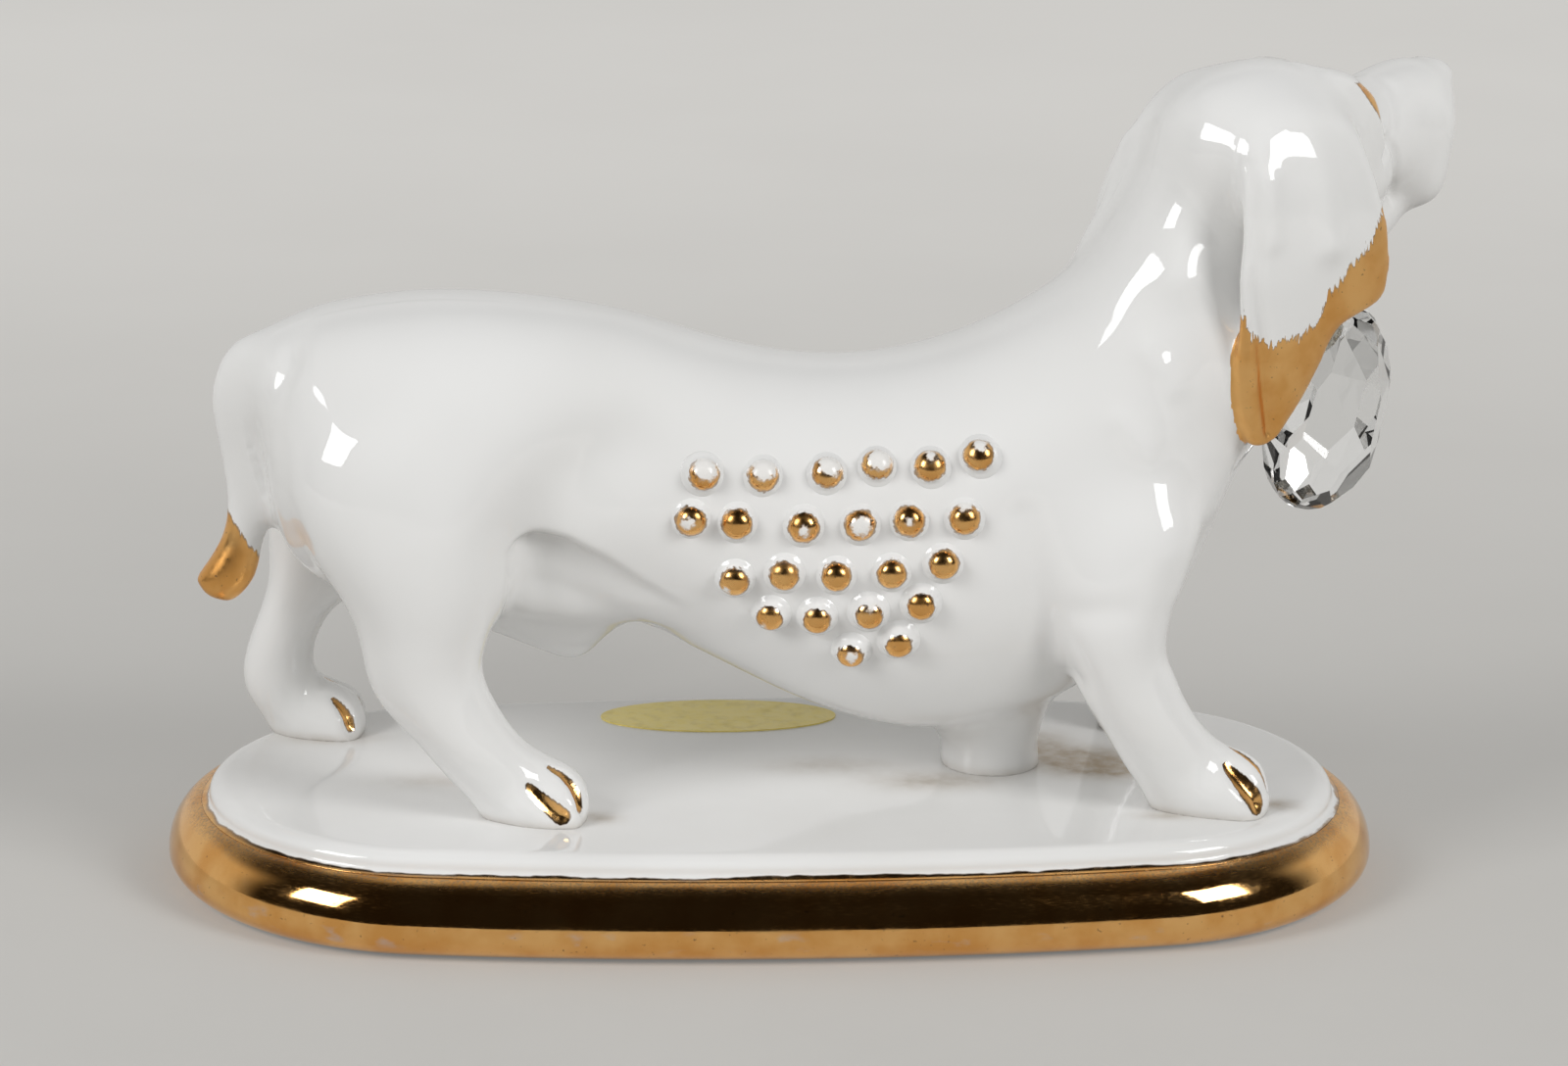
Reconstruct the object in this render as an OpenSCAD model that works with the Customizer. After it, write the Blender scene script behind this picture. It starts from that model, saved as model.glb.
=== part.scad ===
// Porcelain dachshund on an oval plinth, with gilded details and a cut crystal drop.
// Millimetres. X runs towards the dog's chest, Y towards its left side, Z up from the table.

/* [Plinth] */
// Length of the plinth over its gold rim
plinth_l = 165; // [140:1:200]
// Depth of the plinth over its gold rim
plinth_d = 80; // [72:1:110]
// Height of the deck above the table
plinth_h = 13.6; // [11:0.2:18]
// Height of the gold rim
rim_h = 10.8; // [8:0.2:12]
// How far the gold rim stands out beyond the deck
rim_out = 5.6; // [3:0.2:8]
// Rounding of the deck's upper edge
deck_round = 2.2; // [1:0.1:2.6]
// Width of the foot under the rim
foot_w = 8; // [5:0.5:14]
// Depth of the recess inside the foot
foot_recess = 1.2; // [0.6:0.1:2]

/* [Dog] */
// Length from the rump to the chest
body_l = 139; // [115:1:165]
// Width of the rib cage
body_w = 43; // [36:0.5:52]
// Height from the deck to the crown of the head
dog_h = 98; // [82:0.5:116]
// Place of the dog along the plinth
dog_x = 1.5; // [-6:0.1:6]
// Place of the dog across the plinth
dog_y = 2.5; // [-5:0.1:5]
// Gap left by the slip where two castings are joined
seam = 0.12; // [0.08:0.02:0.3]

/* [Head] */
// Turn of the head towards the dog's left
head_turn = 43; // [30:1:55]
// Lift of the muzzle
head_lift = 4; // [0:1:12]
// Thickness of an ear
ear_t = 4.2; // [3.4:0.1:5.4]

/* [Flank dots] */
// Diameter of a gilded dot
bead_d = 4.3; // [3.4:0.1:5]
// Diameter of the white ring of slip round a dot
bead_ring_d = 5.4; // [4.6:0.1:5.6]

/* [Crystal] */
// Length of the crystal drop
crystal_l = 29; // [24:0.5:34]
// Width of the crystal drop
crystal_w = 16; // [13:0.5:19]
// Thickness of the crystal drop
crystal_t = 13; // [10:0.5:16]

/* [Label] */
// Length of the oval foil label
label_l = 33; // [26:0.5:38]
// Depth of the oval foil label
label_w = 13.6; // [11:0.2:15]
// Thickness of the foil label
label_t = 0.2; // [0.1:0.05:0.4]

/* [Hidden] */

// Scale of the dog's stations, which are written for the nominal sizes
sx = body_l / 139;
sy = body_w / 43;
sz = dog_h / 98;
// Points round a section of the torso, the head, a limb and an ear
torso_n = 32;
head_n = 25;
limb_n = 20;
ear_n = 19;
white = [0.96, 0.95, 0.93];
gold = [0.80, 0.58, 0.25];

// Curve through four values
function curve(a, b, c, d, u) =
    0.5 * (2 * b + (c - a) * u + (2 * a - 5 * b + 4 * c - d) * pow(u, 2)
           + (3 * b - a - 3 * c + d) * pow(u, 3));

// Stations with n steps between each pair
function smooth(s, n) =
    [for (i = [0 : (len(s) - 1) * n])
        let (k = min(floor(i / n), len(s) - 2), u = i / n - k)
        curve(s[max(k - 1, 0)], s[k], s[k + 1], s[min(k + 2, len(s) - 1)], u)];

function signed_power(v, p) = sign(v) * pow(abs(v), p);

// One section between two points of the side view: [x1, z1, x2, z2, y, half width]
function section(s, n, grow, square) =
    let (c = [(s[0] + s[2]) / 2, s[4], (s[1] + s[3]) / 2],
         h = [(s[0] - s[2]) / 2, 0, (s[1] - s[3]) / 2],
         k = 1 + grow / norm(h))
    [for (j = [0 : n - 1])
        let (t = 360 * j / n)
        c + h * k * signed_power(sin(t), 2 / square)
          + [0, (s[5] + grow) * signed_power(cos(t), 2 / square), 0]];

function mean(r) = [for (i = [0 : 2]) let (v = [for (p = r) p[i]]) v * [for (p = r) 1] / len(r)];

// A closed skin over sections, domed by cap at both ends
module skin(rings, cap = 1) {
    m = len(rings);
    n = len(rings[0]);
    c0 = mean(rings[0]);
    c1 = mean(rings[m - 1]);
    d0 = c0 - mean(rings[1]);
    d1 = c1 - mean(rings[m - 2]);
    p0 = c0 + cap * d0 / norm(d0);
    p1 = c1 + cap * d1 / norm(d1);
    turned = cross(rings[0][0] - c0, rings[0][floor(n / 4)] - c0) * d0 > 0;
    wound = turned ? [for (r = rings) [for (j = [n - 1 : -1 : 0]) r[j]]] : rings;
    points = concat([for (r = wound) for (p = r) p], [p0, p1]);
    sides = [for (i = [0 : m - 2]) for (j = [0 : n - 1]) each
        [[i * n + j, (i + 1) * n + j, i * n + (j + 1) % n],
         [i * n + (j + 1) % n, (i + 1) * n + j, (i + 1) * n + (j + 1) % n]]];
    first = [for (j = [0 : n - 1]) [m * n, j, (j + 1) % n]];
    last = [for (j = [0 : n - 1]) [m * n + 1, (m - 1) * n + (j + 1) % n, (m - 1) * n + j]];
    polyhedron(points, concat(sides, first, last), convexity = 6);
}

// The dog's own frame: deck level at zero, scaled to its set sizes
module on_deck() {
    translate([dog_x, dog_y, plinth_h]) scale([sx, sy, sz]) children();
}

// A rounded mass between two centres
module mass(a, ra, b, rb, grow = 0, fine = 18) {
    hull() {
        translate(a) sphere(ra + grow, $fn = fine);
        translate(b) sphere(rb + grow, $fn = fine);
    }
}

// Both sides of a mass
module pair_mass(a, ra, b, rb, grow = 0, fine = 14) {
    for (side = [-1, 1])
        mass([a[0], side * a[1], a[2]], ra, [b[0], side * b[1], b[2]], rb, grow, fine);
}

// Fullness of the sections of the barrel, head and ears, and limbs, two being an ellipse
barrel_square = 2.15;
head_square = 2.2;
limb_square = 2.1;

// Torso from the rump to the top of the neck: upper point, lower point, y, half width
torso_stations = [
    [-73.5, 60, -71.5, 48, 0, 6],
    [-71, 62.2, -69.5, 37, 0, 12],
    [-66, 64.6, -65.5, 30, 0, 16.5],
    [-58, 66.4, -58, 26, 0, 19.6],
    [-48, 67.4, -48, 23.6, 0, 20.6],
    [-36, 66.8, -36, 22.8, 0, 20],
    [-22, 64.6, -22, 22.4, 0, 19],
    [-11, 61, -11, 17.6, 0, 19.2],
    [0, 58.6, 0, 12, 0, 20.3],
    [11, 58.4, 11, 8, 0, 21.2],
    [22, 61, 22, 6.6, 0, 21.5],
    [30.5, 65, 36, 10.2, 0, 20.8],
    [36.5, 69, 46.6, 18.6, 0, 19.6],
    [40.5, 73, 53.8, 29.6, 0, 18.2],
    [43.4, 77.5, 59.6, 41, 0.5, 16.4],
    [46, 82.5, 66.5, 50.5, 1.5, 14.6],
    [48.8, 87.6, 70.7, 58, 3, 13],
    [52, 92, 76, 67, 4.5, 11.6]];

module torso_form(grow = 0) {
    on_deck() {
        skin([for (s = smooth(torso_stations, 2)) section(s, torso_n, grow, barrel_square)], 2 + grow);
        // Sheath under the loin
        mass([-43, 0, 27], 5.2, [-29.5, 0, 20.8], 4.8, grow);
        // Breastbone
        mass([50, 0, 38], 9, [44, 0, 24], 9, grow);
        // Root of the tail
        mass([-67, 1, 56], 6.5, [-60, 0, 57], 9, grow);
        // Shoulder blades and upper arms
        pair_mass([33, 7.5, 43], 13.2, [42, 7.5, 36], 12.4, grow);
        // Hips
        pair_mass([-55, 6, 46], 13.6, [-46, 6.5, 45], 14.4, grow);
        // Folds of skin before the thighs
        pair_mass([-40, 9, 36], 10.4, [-15, 8.6, 30], 7.2, grow);
    }
}

module torso() {
    color(white) torso_form();
}

// Head in its own frame: X to the nose, skull centre at zero
head_stations = [
    [-13.2, 6.6, -12.6, -5, 0, 6.4],
    [-9.6, 10.6, -10, -9.4, 0, 10.6],
    [-3, 12.4, -4, -11.8, 0, 12.8],
    [4, 12.3, 3, -12.4, 0, 13],
    [10, 10.2, 9, -12.2, 0, 11.8],
    [15, 7.1, 14.5, -11.6, 0, 9.8],
    [19, 5.2, 19.5, -11.2, 0, 8.2],
    [24.5, 4.8, 25, -11.6, 0, 7.6],
    [30, 5.4, 30.4, -12, 0, 7.5],
    [35, 5.4, 35, -11.4, 0, 7.1],
    [38.6, 4, 38, -8, 0, 5.5]];
head_at = [62, 1.5, 86.2];

module at_head() {
    on_deck() translate(head_at) rotate([0, -head_lift, head_turn]) children();
}

module head_form(grow = 0) {
    at_head() {
        skin([for (s = smooth(head_stations, 2)) section(s, head_n, grow, head_square)], 1.5 + grow);
        // Brows
        pair_mass([11, 5.4, 6.8], 3.2, [6.5, 5.8, 7.4], 3.2, grow);
        // Flews
        pair_mass([32.4, 3.2, -2.5], 5.4, [30.6, 3.8, -9.8], 4.7, grow);
        // Cheeks
        pair_mass([8, 7.2, -6], 5.4, [18, 4.4, -7], 4.4, grow);
        // Lower jaw and throat
        mass([26, 0, -13.2], 4.8, [9, 0, -15.5], 9, grow, 16);
        // Nose
        mass([39, 1.7, 2], 2.6, [39, -1.7, 2], 2.6, grow, 12);
        // Eyes
        pair_mass([14.4, 7.2, 5], 1.5, [16.8, 6.8, 3.2], 0.9, grow, 10);
    }
}

module head() {
    color(white) difference() {
        head_form();
        torso_form(seam);
    }
}

// An ear in the head's frame: rear point, front point, lateral place, half thickness
ear_right_stations = [
    [-5, 10.4, 5, 9.4, 7.8, 0.5],
    [-9.4, 7, 9.6, 5.4, 10.8, 0.5],
    [-11.6, 0, 11.6, -2, 13.2, 0.5],
    [-12.2, -9, 12, -10, 14.4, 0.5],
    [-12.4, -15.4, 12, -16, 14.4, 0.5],
    [-12.6, -19, 10.4, -19.2, 14.2, 0.5],
    [-12.6, -21.4, 4.4, -21, 14, 0.5],
    [-12.4, -26, 1.4, -25.6, 13.7, 0.48],
    [-11.8, -31, -1.6, -30.6, 13.2, 0.45],
    [-9.8, -36, -5.6, -35.6, 12.6, 0.4]];
ear_left_stations = [
    [-4, 11, 5, 10, 7.6, 0.5],
    [-7.4, 7.4, 10, 5.4, 11.6, 0.5],
    [-9.6, 0, 12, -2, 15.4, 0.5],
    [-12.2, -9, 12, -10, 18.6, 0.5],
    [-13.8, -15.4, 11.8, -16, 20.4, 0.5],
    [-14.4, -19, 10, -19.2, 20.8, 0.5],
    [-14.6, -21.4, 4.4, -21, 20.8, 0.5],
    [-14.2, -26, 1.4, -25.6, 20.4, 0.48],
    [-12.8, -31, -1.6, -30.6, 19.4, 0.45],
    [-10.8, -36, -6, -35.6, 18, 0.4]];
ear_right_turn = -16;
ear_left_turn = 0;

module ear_form(stations, turn, side) {
    at_head() rotate([0, 0, turn])
        skin([for (s = smooth(stations, 2))
            let (w = [s[0], s[1], s[2], s[3], s[4] * side, s[5] * ear_t])
            section(w, ear_n, 0, head_square)], 0.8);
}

module ear_right() {
    color(white) difference() {
        ear_form(ear_right_stations, ear_right_turn, -1);
        torso_form(seam);
        head_form(seam);
    }
}

module ear_left() {
    color(white) difference() {
        ear_form(ear_left_stations, ear_left_turn, 1);
        torso_form(seam);
        head_form(seam);
    }
}

// Tail from the rump to its flicked tip: rear point, front point, y, half width
tail_stations = [
    [-74.6, 62, -66.6, 60, 1, 4.2],
    [-77.4, 56.8, -68, 54.5, 2, 4.4],
    [-77.9, 51, -69, 50, 2.5, 4.2],
    [-76.9, 45, -68.8, 45, 3, 3.8],
    [-76, 39, -69.2, 39, 3, 3.4],
    [-76.2, 34, -70, 33, 3, 3],
    [-78.2, 29.6, -71.8, 27, 3, 3.1],
    [-80.2, 26.8, -75, 23.6, 3, 2.6]];

module tail_form() {
    on_deck() skin([for (s = smooth(tail_stations, 2)) section(s, limb_n, 0, limb_square)], 1.4);
}

module tail() {
    color(white) difference() {
        tail_form();
        torso_form(seam);
        translate([-seam, 0, 0]) torso_form();
    }
}

// Everything under the deck's face, to flatten the soles
module below_deck() {
    translate([-plinth_l, -plinth_d, 0]) cube([2 * plinth_l, 2 * plinth_d, plinth_h]);
}

// Four toes fanned across a paw: back of the toe, tip of the toe, spread
module toes(t, side, grow) {
    for (i = [-1.5 : 1 : 1.5])
        mass([t[0], side * (t[2] + i * t[3] * 0.6), t[1]], t[4],
             [t[5] - abs(i) * t[6], side * (t[2] + i * t[3]), t[7]], t[8], grow, 12);
}

// A limb from its root to its sole, with toes
module limb_form(stations, side, toe, grow = 0) {
    on_deck() {
        skin([for (s = smooth(stations, 2))
            let (w = [s[0], s[1], s[2], s[3], s[4] * side, s[5]])
            section(w, limb_n, grow, limb_square)], 1 + grow);
        toes(toe, side, grow);
    }
}

// Right foreleg, stepping forward
foreleg_right_stations = [
    [37, 50, 47, 52, 12, 4],
    [33, 43, 53.6, 44, 14.5, 6.6],
    [32, 36, 54, 37, 16, 7.4],
    [32.6, 29, 51.8, 30, 17, 7.2],
    [35, 22, 50.4, 23.6, 17.4, 6.8],
    [38.2, 16.4, 51.4, 18.6, 17.6, 6.2],
    [41.6, 11.4, 53.6, 13.8, 17.8, 5.8],
    [44.8, 6, 57, 9.6, 17.4, 5.4],
    [49.4, 0, 60, 8, 17.2, 5],
    [54.6, -1.4, 62.4, 7, 17.8, 6],
    [60.4, -1.2, 64.4, 4.8, 17.8, 5.2]];
foreleg_right_toes = [56, 3.2, 17.8, 3, 3.4, 63, 1, 2, 2.5];

// Left foreleg, standing a little further back
foreleg_left_stations = [
    [36, 50, 46, 52, 12, 4],
    [33, 43, 52, 44, 14, 6.4],
    [33, 36, 51.6, 37, 15.4, 7],
    [35.8, 29, 47.6, 30, 16.2, 6.6],
    [39, 22, 47.6, 23.4, 16.6, 6],
    [41.4, 16.4, 49, 18, 16.8, 5.4],
    [43, 11.4, 50.8, 13, 16.8, 5.2],
    [44.2, 6, 52.6, 9, 16.8, 5.2],
    [46, 0, 54.4, 7.8, 16.8, 5.4],
    [49, -1.4, 56.4, 6.6, 16.8, 5.6],
    [54, -1.2, 58, 4.6, 16.8, 5]];
foreleg_left_toes = [50, 3, 16.8, 2.8, 3.2, 56.4, 1, 1.9, 2.4];

// Right hind leg, brought forward
hindleg_right_stations = [
    [-63, 59, -48, 60, 10, 5],
    [-67.6, 53, -41, 54, 12.5, 8],
    [-68.4, 45, -38, 46, 14.6, 9],
    [-66, 38, -37.4, 38, 16, 9],
    [-61.8, 32, -38.6, 31, 16.8, 8.6],
    [-58.6, 26, -41, 25, 17.2, 7.8],
    [-57.6, 20.6, -42, 20.6, 17.6, 7],
    [-55.6, 16, -40, 15.6, 18, 6.4],
    [-51, 11, -37.4, 11.6, 18.4, 6],
    [-46.6, 5.6, -34.6, 9, 18.4, 5.6],
    [-41, 0, -32, 7.6, 18.2, 5.2],
    [-36.6, -1.4, -29.6, 6.4, 18.6, 6],
    [-31.6, -1.2, -27.6, 4.4, 18.6, 5.2]];
hindleg_right_toes = [-36, 3, 18.6, 3, 3.4, -29.2, 1, 2, 2.5];

// Left hind leg, set back
hindleg_left_stations = [
    [-63, 59, -48, 60, 10, 5],
    [-68, 52, -42, 54, 12.5, 8],
    [-70, 44, -40, 46, 14.6, 9],
    [-70.6, 36, -42, 37, 16, 8.8],
    [-70.4, 29, -47, 29, 17, 8],
    [-70.2, 22, -54, 23.4, 17.6, 7],
    [-71.8, 16.4, -61, 18.6, 18, 6],
    [-73.6, 11, -64, 12.6, 18.4, 5.4],
    [-73.6, 5.6, -64, 8.6, 18.6, 5.4],
    [-69.2, 0, -63, 7.4, 18.6, 5.2],
    [-66.6, -1.4, -60.4, 6.6, 18.6, 6],
    [-60.6, -1.2, -57, 4.6, 18.6, 5.2]];
hindleg_left_toes = [-65, 3, 18.6, 3, 3.4, -58.4, 1, 2, 2.5];

module planted(stations, side, toe) {
    difference() {
        limb_form(stations, side, toe);
        torso_form(seam);
        below_deck();
    }
}

module foreleg_right() {
    color(white) planted(foreleg_right_stations, -1, foreleg_right_toes);
}

module foreleg_left() {
    color(white) planted(foreleg_left_stations, 1, foreleg_left_toes);
}

module hindleg_right() {
    color(white) planted(hindleg_right_stations, -1, hindleg_right_toes);
}

module hindleg_left() {
    color(white) planted(hindleg_left_stations, 1, hindleg_left_toes);
}

// Support under the chest, with a collar at its foot
post_at = [28.6, 2];
post_profile = [[0, 0], [6.7, 0], [7, 0.5], [6.9, 1.5], [6.3, 2.2], [6.6, 2.8],
                [7, 4.6], [7.6, 6.6], [8.6, 9], [9, 13], [0, 13]];

module chest_post() {
    color(white) difference() {
        translate([dog_x + post_at[0] * sx, dog_y + post_at[1] * sy, plinth_h])
            scale([1, 1, sz]) rotate_extrude($fn = 28) polygon(post_profile);
        torso_form(seam);
    }
}

// The torso's section at a place along the barrel, where sections stand upright
function section_at(x, k = 4) =
    torso_stations[k + 1][0] < x && k < len(torso_stations) - 3 ? section_at(x, k + 1) :
    curve(torso_stations[k - 1], torso_stations[k], torso_stations[k + 1], torso_stations[k + 2],
          (x - torso_stations[k][0]) / (torso_stations[k + 1][0] - torso_stations[k][0]));

// Half width of the barrel's skin at a place in the side view
function barrel(x, z) =
    let (s = section_at(x), v = abs(2 * z - s[1] - s[3]) / (s[1] - s[3]))
    s[5] * pow(1 - pow(v, barrel_square), 1 / barrel_square);

// Flank dots: rows from the top, each [x, height above the deck]
dot_rows = [
    [[-12.7, 47.5], [-4.8, 47.2], [3.7, 47.4], [10.4, 48.3], [17.5, 48.3], [24, 49.8]],
    [[-14.3, 41.5], [-8.2, 41.1], [0.6, 40.8], [8.1, 41], [14.6, 41.6], [21.9, 41.9]],
    [[-8.4, 33.2], [-1.9, 34.2], [5, 34.1], [12.3, 34.6], [19.1, 35.9]],
    [[-3.5, 28.2], [2.6, 28.1], [9.4, 29], [16.3, 30.3]],
    [[7.3, 23.1], [13.5, 24.9]]];

// Clearance behind a dot, height of its ring of slip and height of its ball's centre
dot_lift = 0.08;
dot_ring_h = 0.5;
dot_rise = 0.2;

module dot() {
    cylinder(h = dot_ring_h, d1 = bead_ring_d, d2 = bead_d);
    difference() {
        translate([0, 0, dot_rise]) sphere(d = bead_d);
        translate([0, 0, -bead_d]) cube(2 * bead_d, center = true);
    }
}

module flank_dots() {
    color(gold)
        for (row = dot_rows, p = row) {
            y = barrel(p[0], p[1]);
            slope = (barrel(p[0], p[1] + 0.5) - barrel(p[0], p[1] - 0.5)) * sy / sz;
            turn = (barrel(p[0] + 0.5, p[1]) - barrel(p[0] - 0.5, p[1])) * sy / sx;
            translate([dog_x + p[0] * sx, dog_y - y * sy - dot_lift, plinth_h + p[1] * sz])
                rotate([90 + atan(slope), 0, -atan(turn)]) dot();
        }
}

// Crystal in its own frame: point up at zero, hanging down
crystal_at = [77.9, 6.4, 62.4];
crystal_lean = 14;
crystal_turn = 20;
crystal_facets = 12;
// Rings of cut corners from the point: share of the length, share of the girth
crystal_rings = [[0, 0.1], [0.15, 0.56], [0.3, 0.88], [0.5, 1], [0.7, 0.95], [0.86, 0.74], [1, 0.26]];

module crystal_form() {
    on_crystal()
        skin([for (i = [0 : len(crystal_rings) - 1])
            [for (j = [0 : crystal_facets - 1])
                let (t = (j + (i % 2) / 2) * 360 / crystal_facets, r = crystal_rings[i][1])
                [crystal_w / 2 * r * cos(t), crystal_t / 2 * r * sin(t),
                 -crystal_l * crystal_rings[i][0]]]],
            0.3);
}

module on_crystal() {
    translate([dog_x + crystal_at[0] * sx, dog_y + crystal_at[1] * sy, plinth_h + crystal_at[2] * sz])
        rotate([0, crystal_lean / pow(sz, 1.5), 0]) rotate([0, 0, crystal_turn]) children();
}

module crystal_drop() {
    color([0.85, 0.88, 0.9, 0.6]) crystal_form();
}

// Blob of clear cement between the crystal's back and the throat, in the crystal's frame
cement_at = [-3, 0, -5];
cement_r = [3.9, 2.4, 3.6];

module crystal_cement() {
    color([0.9, 0.88, 0.82]) difference() {
        on_crystal() translate(cement_at) scale(cement_r) sphere(1, $fn = 16);
        torso_form(seam);
        crystal_form();
    }
}

// Centre of the label on the deck
label_at = [-5.9, 24.3];

module label() {
    color([0.86, 0.76, 0.38])
        translate([label_at[0], label_at[1], plinth_h])
            linear_extrude(label_t) scale([label_l / 2, label_w / 2]) circle(1, $fn = 64);
}

// A stadium outline with a profile swept round it
module plinth_sweep(l, d) {
    for (side = [-1, 1])
        translate([side * (l - d) / 2, 0, 0])
            rotate([0, 0, side > 0 ? -90 : 90]) rotate_extrude(angle = 180, $fn = 96) children();
    for (side = [-1, 1])
        rotate([0, 0, side > 0 ? 0 : 180])
            translate([-(l - d) / 2, 0, 0]) rotate([90, 0, 90]) linear_extrude(l - d) children();
}

// Depth of the rim's rounding, and the height at which it stands out furthest
rim_round = 5.4;
rim_widest = 0.36 * rim_h;

module plinth_rim() {
    r = plinth_d / 2 - rim_round;
    color(gold) plinth_sweep(plinth_l, plinth_d)
        difference() {
            union() {
                square([r, rim_h]);
                translate([r, rim_widest]) intersection() {
                    scale([rim_round, rim_h - rim_widest]) circle(1, $fn = 48);
                    square(rim_h);
                }
                translate([r, rim_widest]) intersection() {
                    scale([rim_round, rim_widest]) circle(1, $fn = 48);
                    translate([0, -rim_h]) square(rim_h);
                }
            }
            translate([-1, -1]) square([plinth_d / 2 - foot_w + 1, foot_recess + 1]);
        }
}

module plinth_deck() {
    r = plinth_d / 2 - rim_out;
    color(white) translate([0, 0, rim_h]) plinth_sweep(plinth_l - 2 * rim_out, plinth_d - 2 * rim_out)
        difference() {
            union() {
                square([r - deck_round, plinth_h - rim_h]);
                square([r, plinth_h - rim_h - deck_round]);
                translate([r - deck_round, plinth_h - rim_h - deck_round]) circle(deck_round, $fn = 32);
            }
            translate([0, -plinth_h]) square([plinth_d, plinth_h]);
        }
}

plinth_rim();
plinth_deck();
torso();
head();
ear_right();
ear_left();
tail();
foreleg_right();
foreleg_left();
hindleg_right();
hindleg_left();
chest_post();
flank_dots();
crystal_drop();
crystal_cement();
label();
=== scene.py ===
"""Looks of a gilded porcelain dachshund on an oval plinth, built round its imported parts."""
import math

import bmesh
import bpy
import numpy as np
from mathutils import Matrix, Quaternion, Vector
from mathutils.bvhtree import BVHTree
from mathutils.kdtree import KDTree


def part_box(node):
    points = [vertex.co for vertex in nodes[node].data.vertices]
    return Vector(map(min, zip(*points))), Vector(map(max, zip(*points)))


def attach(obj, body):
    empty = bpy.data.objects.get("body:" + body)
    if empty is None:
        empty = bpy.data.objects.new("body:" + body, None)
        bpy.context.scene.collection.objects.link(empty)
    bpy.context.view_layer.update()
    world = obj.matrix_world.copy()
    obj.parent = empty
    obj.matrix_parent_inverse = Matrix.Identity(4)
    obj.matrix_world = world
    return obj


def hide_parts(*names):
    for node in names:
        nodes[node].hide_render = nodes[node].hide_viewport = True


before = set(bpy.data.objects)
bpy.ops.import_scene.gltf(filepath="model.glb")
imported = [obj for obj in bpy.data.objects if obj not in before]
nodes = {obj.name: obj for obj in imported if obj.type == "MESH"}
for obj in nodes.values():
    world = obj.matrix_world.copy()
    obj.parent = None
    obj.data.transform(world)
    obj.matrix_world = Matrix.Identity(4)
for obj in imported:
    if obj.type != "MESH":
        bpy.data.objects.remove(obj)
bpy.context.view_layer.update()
scene = bpy.context.scene
rng = np.random.default_rng(7)

# Units and levels taken from the frame
MM = 0.001
DECK_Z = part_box("plinth_deck")[1].z
RIM_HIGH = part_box("plinth_rim")[1]
RIM_R = RIM_HIGH.y
RIM_TOP = RIM_HIGH.z
DECK_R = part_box("plinth_deck")[1].y

# Castings of the dog, which share one skin of glaze
CASTINGS = ("torso", "head", "ear_right", "ear_left", "tail", "foreleg_right", "foreleg_left",
            "hindleg_right", "hindleg_left", "chest_post")
NUMBER = {name: number for number, name in enumerate(CASTINGS)}
EAR_NUMBERS = [NUMBER["ear_right"], NUMBER["ear_left"]]
VOXEL = 0.52 * MM
# Field value well outside any gilding or wear, in millimetres
OUTSIDE = -5.0

# The head's frame: X to the nose, turned to the dog's left and lifted
HEAD_AT = np.array([63.5, 4.0, 99.8]) * MM
HEAD_TURN, HEAD_LIFT, EAR_TURN = 43, 4, -16
HEAD_AXES = np.array(Matrix.Rotation(math.radians(HEAD_TURN), 3, "Z")
                     @ Matrix.Rotation(math.radians(-HEAD_LIFT), 3, "Y"))
EAR_AXES = HEAD_AXES @ np.array(Matrix.Rotation(math.radians(EAR_TURN), 3, "Z"))


# Node trees

def add(tree, kind, props=None, **inputs):
    """A shader node with its properties and inputs set; a socket as input is linked."""
    node = tree.nodes.new("ShaderNode" + kind)
    for key, value in (props or {}).items():
        setattr(node, key, value)
    for key, value in inputs.items():
        put(tree, node.inputs[key.replace("_", " ")], value)
    return node


def put(tree, socket, value):
    if isinstance(value, bpy.types.NodeSocket):
        tree.links.new(value, socket)
    else:
        socket.default_value = value


def calc(tree, operation, *values):
    node = add(tree, "Math", {"operation": operation})
    for socket, value in zip(node.inputs, values):
        put(tree, socket, value)
    return node.outputs[0]


def ramp(tree, value, low, high, to_low=0.0, to_high=1.0):
    node = add(tree, "MapRange", {"interpolation_type": "SMOOTHSTEP"}, Value=value)
    for key, number in (("From Min", low), ("From Max", high), ("To Min", to_low), ("To Max", to_high)):
        put(tree, node.inputs[key], number)
    return node.outputs[0]


def blend_colour(tree, factor, first, second):
    node = add(tree, "Mix", {"data_type": "RGBA"})
    for index, value in ((0, factor), (6, first), (7, second)):
        put(tree, node.inputs[index], value)
    return node.outputs[2]


def blend_value(tree, factor, first, second):
    node = add(tree, "Mix", {"data_type": "FLOAT"})
    for index, value in ((0, factor), (2, first), (3, second)):
        put(tree, node.inputs[index], value)
    return node.outputs[0]


def noise(tree, place, scale, detail=2.0, stretch=(1, 1, 1)):
    """Noise over the object's own coordinates, scale in cells per metre."""
    moved = add(tree, "Mapping", Vector=place, Scale=stretch)
    node = add(tree, "TexNoise", Vector=moved.outputs[0], Scale=scale, Detail=detail)
    return node.outputs[0]


def field(tree, name):
    return add(tree, "Attribute", {"attribute_name": name}).outputs["Fac"]


def start_material(name):
    material = bpy.data.materials.new(name)
    material.use_nodes = True
    tree = material.node_tree
    tree.nodes.clear()
    shader = add(tree, "BsdfPrincipled")
    out = add(tree, "OutputMaterial")
    tree.links.new(shader.outputs[0], out.inputs[0])
    place = add(tree, "TexCoord").outputs["Object"]
    return material, tree, shader, place


# Materials

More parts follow.
